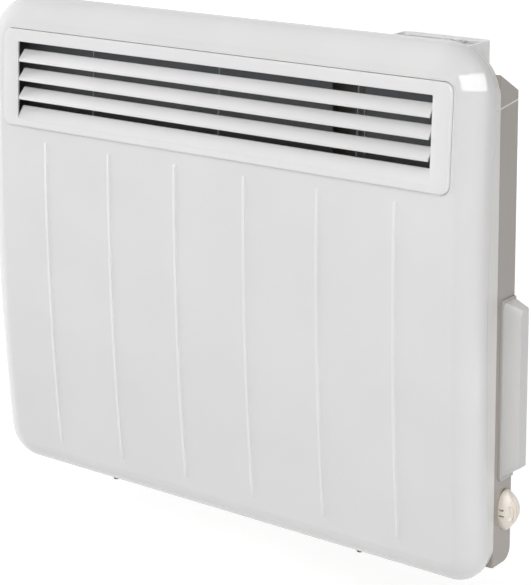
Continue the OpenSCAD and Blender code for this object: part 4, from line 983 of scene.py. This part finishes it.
def lamp(name, place, target, size, power):
    """A soft box that gives light and shows in no mirror image."""
    data = bpy.data.lights.new(name, "AREA")
    data.shape = "RECTANGLE"
    data.size, data.size_y = size
    data.energy = power
    obj = new_object(name, data)
    away = Vector(place) - Vector(target)
    obj.matrix_world = Matrix.Translation(place) @ away.to_track_quat("Z", "Y").to_matrix().to_4x4()
    obj.visible_camera = False
    obj.visible_glossy = False


def window_pane():
    """The curved bright window that the panel's top right corner mirrors; it gives no light of its own."""
    points = []
    for head_turn, head, sill_turn, sill in WINDOW_EDGES:
        for turn, height in ((head_turn, head), (sill_turn, sill)):
            a, e = math.radians(turn), math.radians(height)
            towards = Vector((math.sin(a) * math.cos(e), -math.cos(a) * math.cos(e), math.sin(e)))
            points.append(WINDOW_MIDDLE + WINDOW_DISTANCE * towards)
    faces = [(2 * k, 2 * k + 1, 2 * k + 3, 2 * k + 2) for k in range(len(WINDOW_EDGES) - 1)]
    pane = mesh_object("studio_window", points, faces, outwards=False)
    material, tree = blank_material("studio_window_light")
    glow = add(tree, "ShaderNodeEmission", {"Color": WHITE, "Strength": WINDOW_GLOW})
    add(tree, "ShaderNodeOutputMaterial", links={"Surface": glow.outputs["Emission"]})
    pane.data.materials.append(material)
    pane.visible_camera = pane.visible_diffuse = pane.visible_shadow = False


def surround():
    """White where it is seen, straight or through or in a mirror image, and a dim light elsewhere."""
    world = bpy.data.worlds.new("studio")
    bpy.context.scene.world = world
    world.use_nodes = True
    tree = world.node_tree
    tree.nodes.clear()
    path = add(tree, "ShaderNodeLightPath")
    seen = add(tree, "ShaderNodeMath", operation="MAXIMUM",
               links={0: path.outputs["Is Camera Ray"], 1: path.outputs["Is Transmission Ray"]})
    seen = add(tree, "ShaderNodeMath", operation="MAXIMUM",
               links={0: seen.outputs["Value"], 1: path.outputs["Is Glossy Ray"]})
    level = add(tree, "ShaderNodeMapRange", {"To Min": SKY_LEVEL, "To Max": 1.0}, {"Value": seen.outputs["Value"]})
    sky = add(tree, "ShaderNodeBackground", {"Color": WHITE}, {"Strength": level.outputs["Result"]})
    add(tree, "ShaderNodeOutputWorld", links={"Surface": sky.outputs["Background"]})


def studio_floor():
    """A pale floor that is lifted to the surround's white where it is seen, more so further away."""
    corners = [(s * FLOOR_HALF, t * FLOOR_HALF, FLOOR_Z) for s, t in ((-1, -1), (1, -1), (1, 1), (-1, 1))]
    floor = mesh_object("studio_floor", corners, [(0, 1, 2, 3)], outwards=False)
    material, tree = blank_material("studio_floor_white")
    path = add(tree, "ShaderNodeLightPath")
    seen = add(tree, "ShaderNodeMath", operation="MAXIMUM",
               links={0: path.outputs["Is Camera Ray"], 1: path.outputs["Is Glossy Ray"]})
    place = add(tree, "ShaderNodeTexCoord")
    away = add(tree, "ShaderNodeVectorMath", operation="LENGTH", links={0: place.outputs["Object"]})
    near_and_far = {"From Min": 0.6, "From Max": 4.0, "To Min": 0.62, "To Max": 0.95}
    rise = add(tree, "ShaderNodeMapRange", near_and_far, {"Value": away.outputs["Value"]})
    lift = add(tree, "ShaderNodeMath", operation="MULTIPLY",
               links={0: seen.outputs["Value"], 1: rise.outputs["Result"]})
    paint = add(tree, "ShaderNodeBsdfDiffuse", {"Color": FLOOR_PAINT})
    glow = add(tree, "ShaderNodeEmission", {"Color": WHITE}, {"Strength": lift.outputs["Value"]})
    both = add(tree, "ShaderNodeAddShader", links={0: paint.outputs["BSDF"], 1: glow.outputs["Emission"]})
    add(tree, "ShaderNodeOutputMaterial", links={"Surface": both.outputs["Shader"]})
    floor.data.materials.append(material)


def studio():
    """The white surround, the pale floor, the soft lamps and the mirrored window."""
    bpy.context.scene.view_settings.view_transform = "Standard"
    surround()
    studio_floor()
    for name, (place, target, size, power) in LAMPS.items():
        lamp(name, place, target, size, power)
    window_pane()


# ---------------------------------------------------------------- build
camera()
front_panel()
front_frame()
seam_bead()
bezel()
blades()
mullions()
fins()
sensor_dome()
for node, finish, slot, width in KEPT:
    refined(node, finish, slot, width)
for button in BUTTONS:
    refined("button_" + button, BUTTON, "button_white", 0.35, "button_" + button)
all_screws()
marks("sign_minus", "button_minus", [STROKE])
marks("sign_plus", "button_plus", [STROKE, UPRIGHT_STROKE])
studio()
